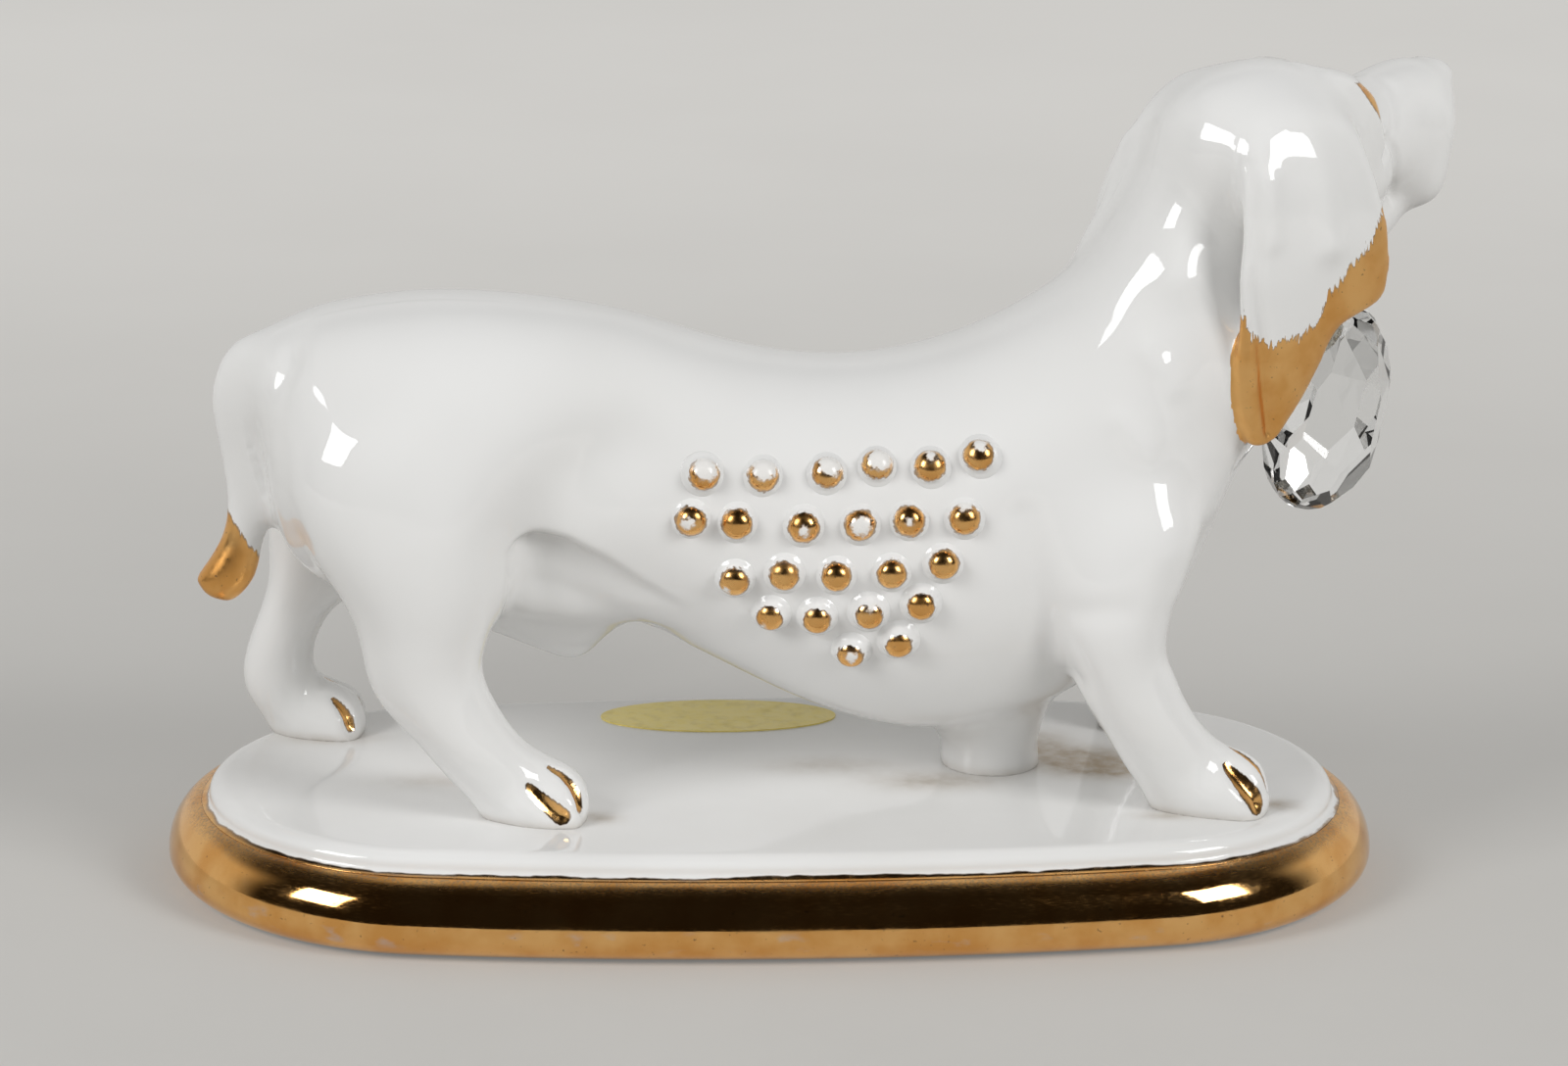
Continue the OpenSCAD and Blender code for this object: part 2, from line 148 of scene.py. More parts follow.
WHITE = (0.84, 0.838, 0.83, 1)
WHITE_SHADE = (0.79, 0.787, 0.775, 1)
SOIL = (0.27, 0.19, 0.10, 1)
SPECK = (0.10, 0.08, 0.06, 1)
GOLD = (0.90, 0.52, 0.19, 1)
GOLD_DEEP = (0.78, 0.39, 0.11, 1)
GOLD_THIN = (0.42, 0.30, 0.20, 1)
GOLD_WORN = (0.84, 0.825, 0.80, 1)
LUSTRE_GREY = (0.62, 0.62, 0.66, 1)
BARE_CLAY = (0.55, 0.53, 0.5, 1)
CRYSTAL_CLEAR = (0.985, 0.99, 0.99, 1)
CEMENT_DEEP = (0.55, 0.45, 0.28, 1)
CEMENT_PALE = (0.9, 0.87, 0.78, 1)
FOIL = (0.97, 0.80, 0.24, 1)
FOIL_SCUFFED = (0.84, 0.68, 0.19, 1)
TABLE = (0.47, 0.46, 0.44, 1)
TABLE_GRAIN = (0.45, 0.44, 0.42, 1)
PAINTED_GLOW_COLOUR = (1.0, 0.985, 0.955, 1)
# Strength of the table's painted glow near the object and far behind it; the stronger glow behind is painted
# light in place of lamp light there
PAINTED_GLOW_STRENGTH = (0.15, 0.32)
# Heights on the rim, in metres: ground foot, thin band and dust under the deck
FOOT_BARE = (0.0007, 0.0002)
BAND_LOW, BAND_HIGH = (0.0016, 0.0030), (0.0058, 0.0040)
DUST_BAND = (0.0088, 0.0106)
GLAZE_IOR, CRYSTAL_IOR, CEMENT_IOR = 1.52, 1.55, 1.48


def gold_colour(tree, place):
    """Orange gold in two tones, with small dark pits."""
    tone = blend_colour(tree, ramp(tree, noise(tree, place, 160, 3), 0.35, 0.7), GOLD, GOLD_DEEP)
    pits = ramp(tree, noise(tree, place, 1500, 2), 0.68, 0.76)
    return blend_colour(tree, calc(tree, "MULTIPLY", pits, 0.6), tone, SPECK)


def specks(tree, place):
    """Sparse iron specks under the glaze."""
    cells = add(tree, "TexVoronoi", Vector=place, Scale=75.0)
    near = ramp(tree, cells.outputs["Distance"], 0.028, 0.014)
    draw = add(tree, "SeparateColor", Color=cells.outputs["Color"]).outputs[0]
    chosen = calc(tree, "GREATER_THAN", draw, 0.72)
    return calc(tree, "MULTIPLY", near, chosen)


def porcelain(name, streak=(1, 1, 0.1), streak_scale=3000):
    """White glaze, gilded where the gild field (mm) is above zero; the brush field roughens its edge."""
    material, tree, shader, place = start_material(name)
    marks = calc(tree, "SUBTRACT", noise(tree, place, streak_scale, 2, streak), 0.5)
    soft = calc(tree, "SUBTRACT", noise(tree, place, 300, 2), 0.5)
    ragged = calc(tree, "MULTIPLY_ADD", soft, 0.5, marks)
    ragged = calc(tree, "MULTIPLY", ragged, field(tree, "brush"))
    edge = calc(tree, "MULTIPLY_ADD", ragged, 4.0, field(tree, "gild"))
    gilt = ramp(tree, edge, -0.08, 0.12)
    gold = blend_colour(tree, ramp(tree, edge, 0.05, 0.35), GOLD_THIN, gold_colour(tree, place))
    worn = calc(tree, "MULTIPLY_ADD", marks, 1.6, field(tree, "worn"))
    worn = ramp(tree, worn, -0.45, 0.3)
    white = blend_colour(tree, ramp(tree, noise(tree, place, 28, 2), 0.3, 0.75), WHITE, WHITE_SHADE)
    uneven = ramp(tree, noise(tree, place, 420, 6), 0.2, 0.8, 0.6, 1.0)
    dirt = calc(tree, "MULTIPLY", field(tree, "soil"), uneven)
    white = blend_colour(tree, dirt, white, SOIL)
    white = blend_colour(tree, specks(tree, place), white, SPECK)
    gold = blend_colour(tree, worn, gold, GOLD_WORN)
    put(tree, shader.inputs["Base Color"], blend_colour(tree, gilt, white, gold))
    put(tree, shader.inputs["Metallic"], calc(tree, "MULTIPLY", gilt, ramp(tree, worn, 0.3, 1.0, 1.0, 0.0)))
    glaze_rough = ramp(tree, noise(tree, place, 60, 3), 0.4, 0.8, 0.03, 0.07)
    gold_rough = ramp(tree, noise(tree, place, 700, 3), 0.3, 0.8, 0.14, 0.34)
    gold_rough = calc(tree, "ADD", gold_rough, ramp(tree, field(tree, "brush"), 0.1, 0.3, 0.0, 0.14))
    put(tree, shader.inputs["Roughness"], blend_value(tree, gilt, glaze_rough, gold_rough))
    shader.inputs["IOR"].default_value = GLAZE_IOR
    ripple = add(tree, "Bump", Strength=0.25, Distance=0.0003, Height=noise(tree, place, 85, 2))
    put(tree, shader.inputs["Normal"], ripple.outputs[0])
    return material


def rim_gold():
    """Gold lustre with fine dust under the deck, brushed scratches and thin patches low down."""
    material, tree, shader, place = start_material("rim_lustre")
    height = add(tree, "SeparateXYZ", Vector=place).outputs["Z"]
    dusty = ramp(tree, height, *DUST_BAND)
    dust = calc(tree, "MULTIPLY", ramp(tree, noise(tree, place, 2600, 2), 0.42, 0.66), dusty)
    colour = blend_colour(tree, calc(tree, "MULTIPLY", dust, 0.6), gold_colour(tree, place), GOLD_THIN)
    band = calc(tree, "MULTIPLY", ramp(tree, height, *BAND_LOW), ramp(tree, height, *BAND_HIGH))
    thin = calc(tree, "MULTIPLY", band, ramp(tree, noise(tree, place, 320, 4, (0.5, 0.5, 1)), 0.58, 0.72))
    colour = blend_colour(tree, calc(tree, "MULTIPLY", thin, 0.45), colour, LUSTRE_GREY)
    bare = ramp(tree, height, *FOOT_BARE)
    put(tree, shader.inputs["Base Color"], blend_colour(tree, bare, colour, BARE_CLAY))
    put(tree, shader.inputs["Metallic"], calc(tree, "SUBTRACT", 1.0, bare))
    scratches = ramp(tree, noise(tree, place, 900, 3, (1, 1, 9)), 0.45, 0.75, 0.0, 0.08)
    rough = calc(tree, "ADD", ramp(tree, noise(tree, place, 90, 3), 0.35, 0.75, 0.05, 0.11), scratches)
    rough = calc(tree, "ADD", rough, calc(tree, "MULTIPLY", dusty, 0.25))
    put(tree, shader.inputs["Roughness"], rough)
    wave = add(tree, "Bump", Strength=0.3, Distance=0.0003, Height=noise(tree, place, 70, 2))
    put(tree, shader.inputs["Normal"], wave.outputs[0])
    return material


def crystal_glass():
    """Clear lead glass, faintly smeared."""
    material, tree, shader, place = start_material("cut_crystal")
    shader.inputs["Base Color"].default_value = CRYSTAL_CLEAR
    shader.inputs["Transmission Weight"].default_value = 1.0
    shader.inputs["IOR"].default_value = CRYSTAL_IOR
    put(tree, shader.inputs["Roughness"], ramp(tree, noise(tree, place, 300, 3), 0.45, 0.8, 0.0, 0.035))
    return material


def cement():
    """Clear, slightly yellow cement full of small bubbles."""
    material, tree, shader, place = start_material("clear_cement")
    bubbles = add(tree, "TexVoronoi", Vector=place, Scale=1400.0).outputs["Distance"]
    rim = ramp(tree, bubbles, 0.25, 0.5)
    put(tree, shader.inputs["Base Color"], blend_colour(tree, rim, CEMENT_DEEP, CEMENT_PALE))
    shader.inputs["Transmission Weight"].default_value = 0.7
    shader.inputs["IOR"].default_value = CEMENT_IOR
    put(tree, shader.inputs["Roughness"], ramp(tree, bubbles, 0.1, 0.6, 0.05, 0.3))
    lumps = add(tree, "Bump", Strength=0.6, Distance=0.0002, Height=bubbles)
    put(tree, shader.inputs["Normal"], lumps.outputs[0])
    return material


def foil():
    """Plain gold foil paper, lightly scuffed."""
    material, tree, shader, place = start_material("foil_label")
    scuff = ramp(tree, noise(tree, place, 500, 4), 0.45, 0.75)
    put(tree, shader.inputs["Base Color"], blend_colour(tree, scuff, FOIL, FOIL_SCUFFED))
    shader.inputs["Metallic"].default_value = 0.05
    put(tree, shader.inputs["Roughness"], ramp(tree, noise(tree, place, 900, 3), 0.3, 0.8, 0.28, 0.5))
    crinkle = add(tree, "Bump", Strength=0.2, Distance=0.0001, Height=noise(tree, place, 700, 2))
    put(tree, shader.inputs["Normal"], crinkle.outputs[0])
    return material


def seen_directly(tree):
    """One for rays from the camera and for those mirrored or refracted on the way."""
    path = add(tree, "LightPath").outputs
    seen = calc(tree, "MAXIMUM", path["Is Camera Ray"], path["Is Glossy Ray"])
    return calc(tree, "MAXIMUM", seen, path["Is Transmission Ray"])


def table_top():
    """Pale matt paper with a painted glow where it is seen directly, stronger far behind, so that it reads as
    an evenly lit background.
    """
    material, tree, shader, place = start_material("table_top")
    grain = ramp(tree, noise(tree, place, 14, 5), 0.3, 0.75)
    put(tree, shader.inputs["Base Color"], blend_colour(tree, grain, TABLE, TABLE_GRAIN))
    shader.inputs["Roughness"].default_value = 0.85
    shader.inputs["Specular IOR Level"].default_value = 0.1
    # Painted light: the glow's strength grows with distance behind the object
    far = ramp(tree, add(tree, "SeparateXYZ", Vector=place).outputs["Y"], 0.02, 0.5, *PAINTED_GLOW_STRENGTH)
    strength = calc(tree, "MULTIPLY", seen_directly(tree), far)
    painted_glow = add(tree, "Emission", Color=PAINTED_GLOW_COLOUR, Strength=strength)
    both = add(tree, "AddShader")
    tree.links.new(shader.outputs[0], both.inputs[0])
    tree.links.new(painted_glow.outputs[0], both.inputs[1])
    out = next(n for n in tree.nodes if n.type == "OUTPUT_MATERIAL")
    tree.links.new(both.outputs[0], out.inputs[0])
    return material


# Meshes

def link(name, mesh):
    piece = bpy.data.objects.new(name, mesh)
    scene.collection.objects.link(piece)
    return piece


def new_mesh(name, points, faces):
    mesh = bpy.data.meshes.new(name)
    mesh.from_pydata([tuple(p) for p in points], [], [tuple(f) for f in faces])
    mesh.validate()
    mesh.polygons.foreach_set("use_smooth", [True] * len(mesh.polygons))
    mesh.update()
    return mesh


def store(mesh, name, values):
    """A float for each point, which a material reads by name."""
    mesh.attributes.new(name, "FLOAT", "POINT").data.foreach_set("value", np.asarray(values, np.float32))


def read(items, key, size=1, kind=float):
    """One row of values for each item of a mesh."""
    values = np.empty(len(items) * size, kind)
    items.foreach_get(key, values)
    return values.reshape(-1, size) if size > 1 else values


def points_of(mesh):
    return read(mesh.vertices, "co", 3)


def edges_of(mesh):
    return read(mesh.edges, "vertices", 2, np.int64)


def normals_of(mesh):
    return read(mesh.vertices, "normal", 3)


def field_of(mesh, name):
    return read(mesh.attributes[name].data, "value", 1, np.float32)


def to_new_mesh(body, name):
    mesh = bpy.data.meshes.new(name)
    body.to_mesh(mesh)
    body.free()
    return mesh


def relax(co, edges, weight, rounds):
    """Laplacian smoothing with its own strength at each point."""
    n = len(co)
    a, b = edges.T
    valence = np.maximum(np.bincount(edges.ravel(), minlength=n), 1)[:, None]
    for _ in range(rounds):
        total = np.stack([np.bincount(a, co[b, k], n) + np.bincount(b, co[a, k], n)
                          for k in range(co.shape[1])], axis=1)
        co = co + weight[:, None] * (total / valence - co)
    return co


def finish_piece(piece, material, slot, *replaced):
    piece.data.materials.clear()
    piece.data.materials.append(material)
    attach(piece, "root")
    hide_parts(*replaced)


# The dog's skin

# How far each casting swells to meet its neighbours, and how far its soles sink below the deck
SWELL, SINK = 0.16 * MM, 2.0 * MM


def welded(name):
    part = bmesh.new()
    part.from_mesh(nodes[name].data)
    bmesh.ops.remove_doubles(part, verts=part.verts, dist=1e-6)
    part.verts.index_update()
    part.normal_update()
    return part


def fused_skin():
    """One closed skin over all castings, its soles sunk below the deck for a clean cut later."""
    whole = bmesh.new()
    for name in CASTINGS:
        part = welded(name)
        for v in part.verts:
            v.co += v.normal * SWELL
            if v.co.z < DECK_Z + 2 * SWELL:
                v.co.z -= SINK
        mesh = to_new_mesh(part, "part")
        whole.from_mesh(mesh)
        bpy.data.meshes.remove(mesh)
    body = link("skin", to_new_mesh(whole, "skin"))
    remesh = body.modifiers.new("fuse", "REMESH")
    remesh.mode = "VOXEL"
    remesh.voxel_size = VOXEL
    graph = bpy.context.evaluated_depsgraph_get()
    skin = bpy.data.meshes.new_from_object(body.evaluated_get(graph))
    bpy.data.objects.remove(body)
    drop_inner(skin)
    return skin


def patches(n, a, b):
    """A number for each group of n things that the pairs (a, b) join."""
    group = np.arange(n)
    while True:
        before = group.copy()
        low = np.minimum(group[a], group[b])
        np.minimum.at(group, group[a], low)
        np.minimum.at(group, group[b], low)
        group = group[group]
        if np.array_equal(before, group):
            return group


def drop_inner(mesh):
    """Remove the closed hollows between castings and keep the outer skin."""
    group = patches(len(mesh.vertices), *edges_of(mesh).T)
    outer = np.bincount(group).argmax()
    if (group == outer).all():
        return
    body = bmesh.new()
    body.from_mesh(mesh)
    body.verts.ensure_lookup_table()
    bmesh.ops.delete(body, geom=[body.verts[i] for i in np.flatnonzero(group != outer)], context="VERTS")
    body.to_mesh(mesh)
    body.free()
    mesh.update()


def casting_tree():
    """A search tree over all castings, with the casting of each face."""
    points, faces, owner = [], [], []
    for index, name in enumerate(CASTINGS):
        part = welded(name)
        first = len(points)
        points += [v.co.copy() for v in part.verts]
        faces += [[first + v.index for v in f.verts] for f in part.faces]
        owner += [index] * len(part.faces)
        part.free()
    return BVHTree.FromPolygons(points, faces), np.array(owner)


def owners(co, tree, owner):
    return np.array([owner[tree.find_nearest(Vector(p))[2]] for p in co])


def to_frame(co, axes, origin):
    """Points in millimetres in a turned frame."""
    return (co - origin) @ axes / MM


def away(points, path):
    """Distance from each point to a path, and how far along the path that is, 0 to 1."""
    path = np.asarray(path, float)
    lengths = np.linalg.norm(np.diff(path, axis=0), axis=1)
    starts = np.concatenate([[0], np.cumsum(lengths)])
    best = np.full(len(points), 1e9)
    along = np.zeros(len(points))
    for i, length in enumerate(lengths):
        step = (path[i + 1] - path[i]) / length
        t = np.clip((points - path[i]) @ step, 0, length)
        d = np.linalg.norm(points - path[i] - t[:, None] * step, axis=1)
        closer = d < best
        best[closer] = d[closer]
        along[closer] = (starts[i] + t[closer]) / starts[-1]
    return best, along


# How far each casting's form is rounded by the glaze, in millimetres
ROUNDING = {"torso": 2.6, "head": 1.9, "ear_right": 0.9, "ear_left": 0.9, "tail": 1.2, "foreleg_right": 1.6,
            "foreleg_left": 1.6, "hindleg_right": 1.8, "hindleg_left": 1.8, "chest_post": 0.7}
# Castings whose joint with the torso melts under the glaze, how wide, and the share of that low on the legs
BLENDED = ("foreleg_right", "foreleg_left", "hindleg_right", "hindleg_left", "tail", "head", "chest_post")
BLEND_WIDTH = 6.0 * MM
LOW_BLEND, LOW_FROM, LOW_TO = 0.3, 36 * MM, 52 * MM
LEAST_BLEND = 0.01
# Strength of one round of smoothing, and rounds that reach as far at any voxel size
STEP = 0.6
FINE = (0.4 * MM / VOXEL) ** 2
ROUNDS = int(110 * FINE)
BLEND_ROUNDS = int(260 * FINE)
# The root of each ear runs into the skull and neck: reach of that blend, and the heights it fades between
EAR_BLEND, EAR_FREE, EAR_ROOT = 4.0 * MM, -28.0, -6.0
EAR_ROUNDS = int(200 * FINE)


def smooth(value, low, high):
    t = np.clip((value - low) / (high - low), 0, 1)
    return t * t * (3 - 2 * t)


def nearest(points, targets):
    """Distance from each point to its nearest target, and that target's number."""
    tree = KDTree(len(targets))
    for i, target in enumerate(targets):
        tree.insert(target, i)
    tree.balance()
    found = [tree.find(Vector(p)) for p in points]
    return np.array([f[2] for f in found]), np.array([f[1] for f in found])


def soften(co, edges, label):
    """Round every form, then melt the joints of the limbs into the torso."""
    reach = np.array([ROUNDING[name] for name in CASTINGS])[label]
    weight = STEP * (reach / max(ROUNDING.values())) ** 2
    weight = relax(weight[:, None], edges, np.full(len(co), 0.5), 25)[:, 0]
    co = relax(co, edges, weight, ROUNDS)
    torso = NUMBER["torso"]
    joined = [NUMBER[name] for name in BLENDED]
    a, b = label[edges].T
    seam = np.flatnonzero((a == torso) & np.isin(b, joined) | (b == torso) & np.isin(a, joined))
    other = np.where(a == torso, b, a)[seam]
    near, which = nearest(co, co[edges[seam, 0]])
    melt = STEP * np.exp(-(near / BLEND_WIDTH) ** 2)
    legs = np.isin(other[which], [NUMBER[name] for name in CASTINGS if "leg" in name])
    low = LOW_BLEND + (1 - LOW_BLEND) * smooth(co[:, 2], LOW_FROM, LOW_TO)
    melt = np.where(legs, melt * low, melt)
    ears = np.isin(label, EAR_NUMBERS)
    melt[ears | (melt < LEAST_BLEND)] = 0
    co = relax(co, edges, melt, BLEND_ROUNDS)
    root = np.flatnonzero(ears[edges[:, 0]] != ears[edges[:, 1]])
    height = to_frame(co, HEAD_AXES, HEAD_AT)[:, 2]
    high = np.flatnonzero(height > EAR_FREE)
    near, _ = nearest(co[high], co[edges[root, 0]])
    melt = np.zeros(len(co))
    melt[high] = STEP * np.exp(-(near / EAR_BLEND) ** 2)
    melt *= smooth(height, EAR_FREE, EAR_ROOT)
    melt[melt < LEAST_BLEND] = 0
    return relax(co, edges, melt, EAR_ROUNDS)


# Strokes of the modelling tool on the near side, seen from the side: path, width and depth at its ends, in
# millimetres; a depth below zero raises a ridge
STROKES = (
    (((-21.5, 65), (-25.5, 63.5), (-29.3, 60), (-32, 56), (-33.4, 52.9)), 6.5, (2.0, 2.0)),
    (((-65.6, 74.8), (-67.7, 71.3), (-69, 68), (-70, 62.5), (-70.4, 53)), 1.7, (0.8, 1.1)),
    (((-64.6, 77.5), (-66.6, 72), (-67.2, 66), (-66.6, 58), (-64.2, 52)), 1.5, (0.4, 0.4)),
    (((31.4, 55.3), (32.3, 50.5), (33.3, 44.8), (34.5, 40.2), (36.2, 35.8), (37.8, 32.2)), 2.6, (0.6, 1.2)),
    (((38.8, 42.9), (41.3, 43.3), (44.5, 43.3)), 2.0, (0.4, 0.25)),
    (((-49, 65), (-44, 59.5)), 11.0, (-1.6, -1.5)),
    (((47.5, 64), (49.5, 58), (50.5, 52)), 4.0, (-0.5, -0.5)),
    (((60, 108.5), (57.4, 105), (54.7, 101.6), (53.6, 95), (52.3, 86.5)), 3.4, (0.0, -1.2)),
    (((47.6, 77), (51.5, 72.5)), 2.0, (-0.45, -0.45)),
    (((44.2, 67.9), (47.9, 63.8)), 2.0, (-0.4, -0.4)))
# Strokes that go right round the outline
ROUND_STROKES = ((((57.8, 61), (57.2, 54)), 4.0, (-0.7, -0.9)), (((52.4, 41), (51.4, 36)), 3.0, (0.5, 0.6)))
# Fold of skin from the thigh to the belly: its line from the side, and how far the belly turns in below it
FOLD = ((-38.5, 50.2), (-36.5, 51.4), (-35.4, 52.3), (-33.7, 52.9), (-29.2, 51.9), (-24, 49.3), (-18.8, 45.8),
        (-13.5, 42.7))
FOLD_DEEP = ((-39, 0), (-36.5, 2.2), (-33, 3.0), (-26, 2.4), (-19, 1.1), (-12, 0))
FOLD_EDGE, FOLD_END = (-0.6, 1.6), (8, 14)
# Lowest line of the belly's lobe between the hind legs
BELLY_LOBE = ((-44, 36), (-38.9, 34.5), (-33.6, 32.3), (-27.7, 29.8), (-24.3, 31.3), (-21.9, 34.6),
              (-19.5, 36.4))
BELLY_MID, BELLY_WIDE = 2.5, 6.5
MASK_ROUNDS, LOBE_ROUNDS = int(40 * FINE), int(60 * FINE)

# Grooves between the toes: points from the root to the tip and half width at the tip, in millimetres
TOE_GROOVES = {
    "foreleg_right": [
        (((59.2, -18.2, 20.8), (61, -19.5, 19.4), (62.7, -20.8, 17.9), (64.6, -21.6, 16)), 2.1),
        (((58.6, -12.4, 22.6), (61.2, -14.2, 21.6), (64, -16, 20), (66, -17, 17.6)), 1.1),
        (((58.5, -8, 21.5), (66, -9, 17)), 1.0)],
    "foreleg_left": [
        (((53, 15.6, 21), (60.5, 14.6, 16.5)), 1.2),
        (((53, 19.3, 21.6), (61, 19.3, 16.5)), 1.2),
        (((53, 22.8, 21), (60.5, 23.6, 16.5)), 1.2)],
    "hindleg_right": [
        (((-34.8, -20.6, 19.7), (-33.1, -21.7, 18.3), (-31.6, -22.5, 17), (-30, -22.8, 15.5)), 1.6),
        (((-32, -18.2, 21.4), (-29.7, -18.4, 20.2), (-28, -19.4, 18.9), (-26.8, -20.5, 16.4)), 1.2),
        (((-33, -12.8, 20.5), (-26.5, -12.4, 16.5)), 1.0)],
    "hindleg_left": [
        (((-60.2, 17.2, 19.4), (-58.6, 16.2, 18.2), (-57, 14.8, 15.8)), 1.2),
        (((-61.5, 21.1, 21), (-55, 21.1, 16.5)), 1.1),
        (((-61.5, 24.6, 20.5), (-55.5, 25.2, 16.5)), 1.1)]}
# Depth of a groove, half width at its root, power by which it opens to the tip, the share of its width that
# is gilded, and how high the paws reach
GROOVE_DEEP, GROOVE_ROOT, GROOVE_OPEN = 1.1, 0.25, 0.6
GROOVE_GILT = 0.95
PAW_HIGH = 11 * MM

# Ear gilding: the white field's lower margin in the ear's own frame, forward place and height
EAR_MARGIN = ((-16, -11), (-13, -13.2), (-11.2, -19.6), (-9.6, -20.6), (-3.8, -21.1), (-1.4, -19.5),
              (0.5, -15.8), (2.6, -14.2), (5, -11.9), (7.4, -10.3), (9, -8.6), (10.3, -6.5), (14, -4))
# Distance from that margin for each millimetre of height, because it runs aslant
EAR_SLANT = 0.75
# Each ear with its axes, the side that faces out, and how much lower its gilding starts
EARS = (("ear_right", EAR_AXES, -1, 0), ("ear_left", HEAD_AXES, 1, 4.0))
# Strokes on each ear's outer face, as on the body
EAR_STROKES = (
    (((-9.4, 3), (-10.2, -4), (-10.5, -13), (-9.8, -20), (-8.8, -28), (-7.4, -34.5)), 0.95, (0.3, 1.3)),
    (((-7.4, 1), (-7.9, -7)), 1.5, (-0.5, -0.4)),
    (((0.2, 10), (0.8, 0), (1.2, -9)), 2.4, (0.0, -0.9)))
# Tail gilding: a slanting line in the side view
TAIL_LINE, TAIL_DOWN = (-74.7, 51.1), (-0.83, -0.558)
# Eye in the head's side view, the line of the mouth and the upper edge of the lip
EYE = ((11.2, 8.3), (16.4, 6.8), (16.0, 1.9))
EYE_BULGE, EYE_RISE = 1.0, (-3.0, 1.0)
MOUTH = ((17.4, -3.3), (19.5, -1.1), (21.3, -4), (22.6, -8), (24.4, -11.4))
LIP = ((21.3, -0.4), (23.2, 2.6), (25.5, 4.1))
# Depth and half width of each line, and how far from the middle the eye and the lines begin
MOUTH_CUT, LIP_CUT = (0.7, 0.7), (0.3, 0.9)
EYE_FROM, MOUTH_FROM = 2, 1
# How far the brush wanders at the edge of the gilding, in millimetres
BRUSH = {"ear_right": 0.85, "ear_left": 0.85, "tail": 0.3}
FINE_BRUSH = 0.1


def ear_gild(local):
    edge = np.interp(local[:, 0], *np.array(EAR_MARGIN).T)
    return (edge - local[:, 2]) * EAR_SLANT


def inside_triangle(points, corners):
    """Signed distance to a triangle's sides, positive inside."""
    corners = np.array(corners)
    centre = corners.mean(0)
    best = np.full(len(points), 1e9)
    for i in range(3):
        a, b = corners[i], corners[(i + 1) % 3]
        normal = np.array([b[1] - a[1], a[0] - b[0]])
        normal = normal / np.linalg.norm(normal)
        normal = normal * np.sign((centre - a) @ normal)
        best = np.minimum(best, (points - a) @ normal)
    return best


def strokes_at(points, strokes):
    """Depth cut by the strokes at each point of a side view, below zero where they raise it."""
    cut = np.zeros(len(points))
    for path, width, (start, end) in strokes:
        d, t = away(points, path)
        cut += (start + (end - start) * t) * np.exp(-(d / width) ** 2)
    return cut


def sculpt_body(co, normals, label, edges):
    """Hollows, creases and the flank's fold, as a push along the normal in millimetres."""
    side = co[:, [0, 2]] / MM
    facing = np.clip(0.4 - 1.6 * normals[:, 1], 0, 1) * (co[:, 1] < 0)
    ears = np.isin(label, EAR_NUMBERS)
    facing[ears] = 0
    below = np.interp(side[:, 0], *np.array(FOLD).T) - side[:, 1]
    deep = np.interp(side[:, 0], *np.array(FOLD_DEEP).T)
    torso = (label == NUMBER["torso"]).astype(float)
    torso = relax(torso[:, None], edges, np.full(len(co), 0.6), MASK_ROUNDS)[:, 0]
    fold = deep * smooth(below, *FOLD_EDGE) * (1 - smooth(below, *FOLD_END)) * torso
    return -facing * (strokes_at(side, STROKES) + fold) - ~ears * strokes_at(side, ROUND_STROKES)


def lower_lobe(co, normals, label):
    """How far the belly's lobe is drawn down, in metres."""
    target = np.interp(co[:, 0] / MM, *np.array(BELLY_LOBE).T) * MM
    inside = (co[:, 0] > BELLY_LOBE[0][0] * MM) & (co[:, 0] < BELLY_LOBE[-1][0] * MM)
    weight = np.exp(-((co[:, 1] / MM - BELLY_MID) / BELLY_WIDE) ** 2) * np.clip(-2 * normals[:, 2], 0, 1)
    weight = weight * inside * (label == NUMBER["torso"])
    return np.minimum(target - co[:, 2], 0) * weight


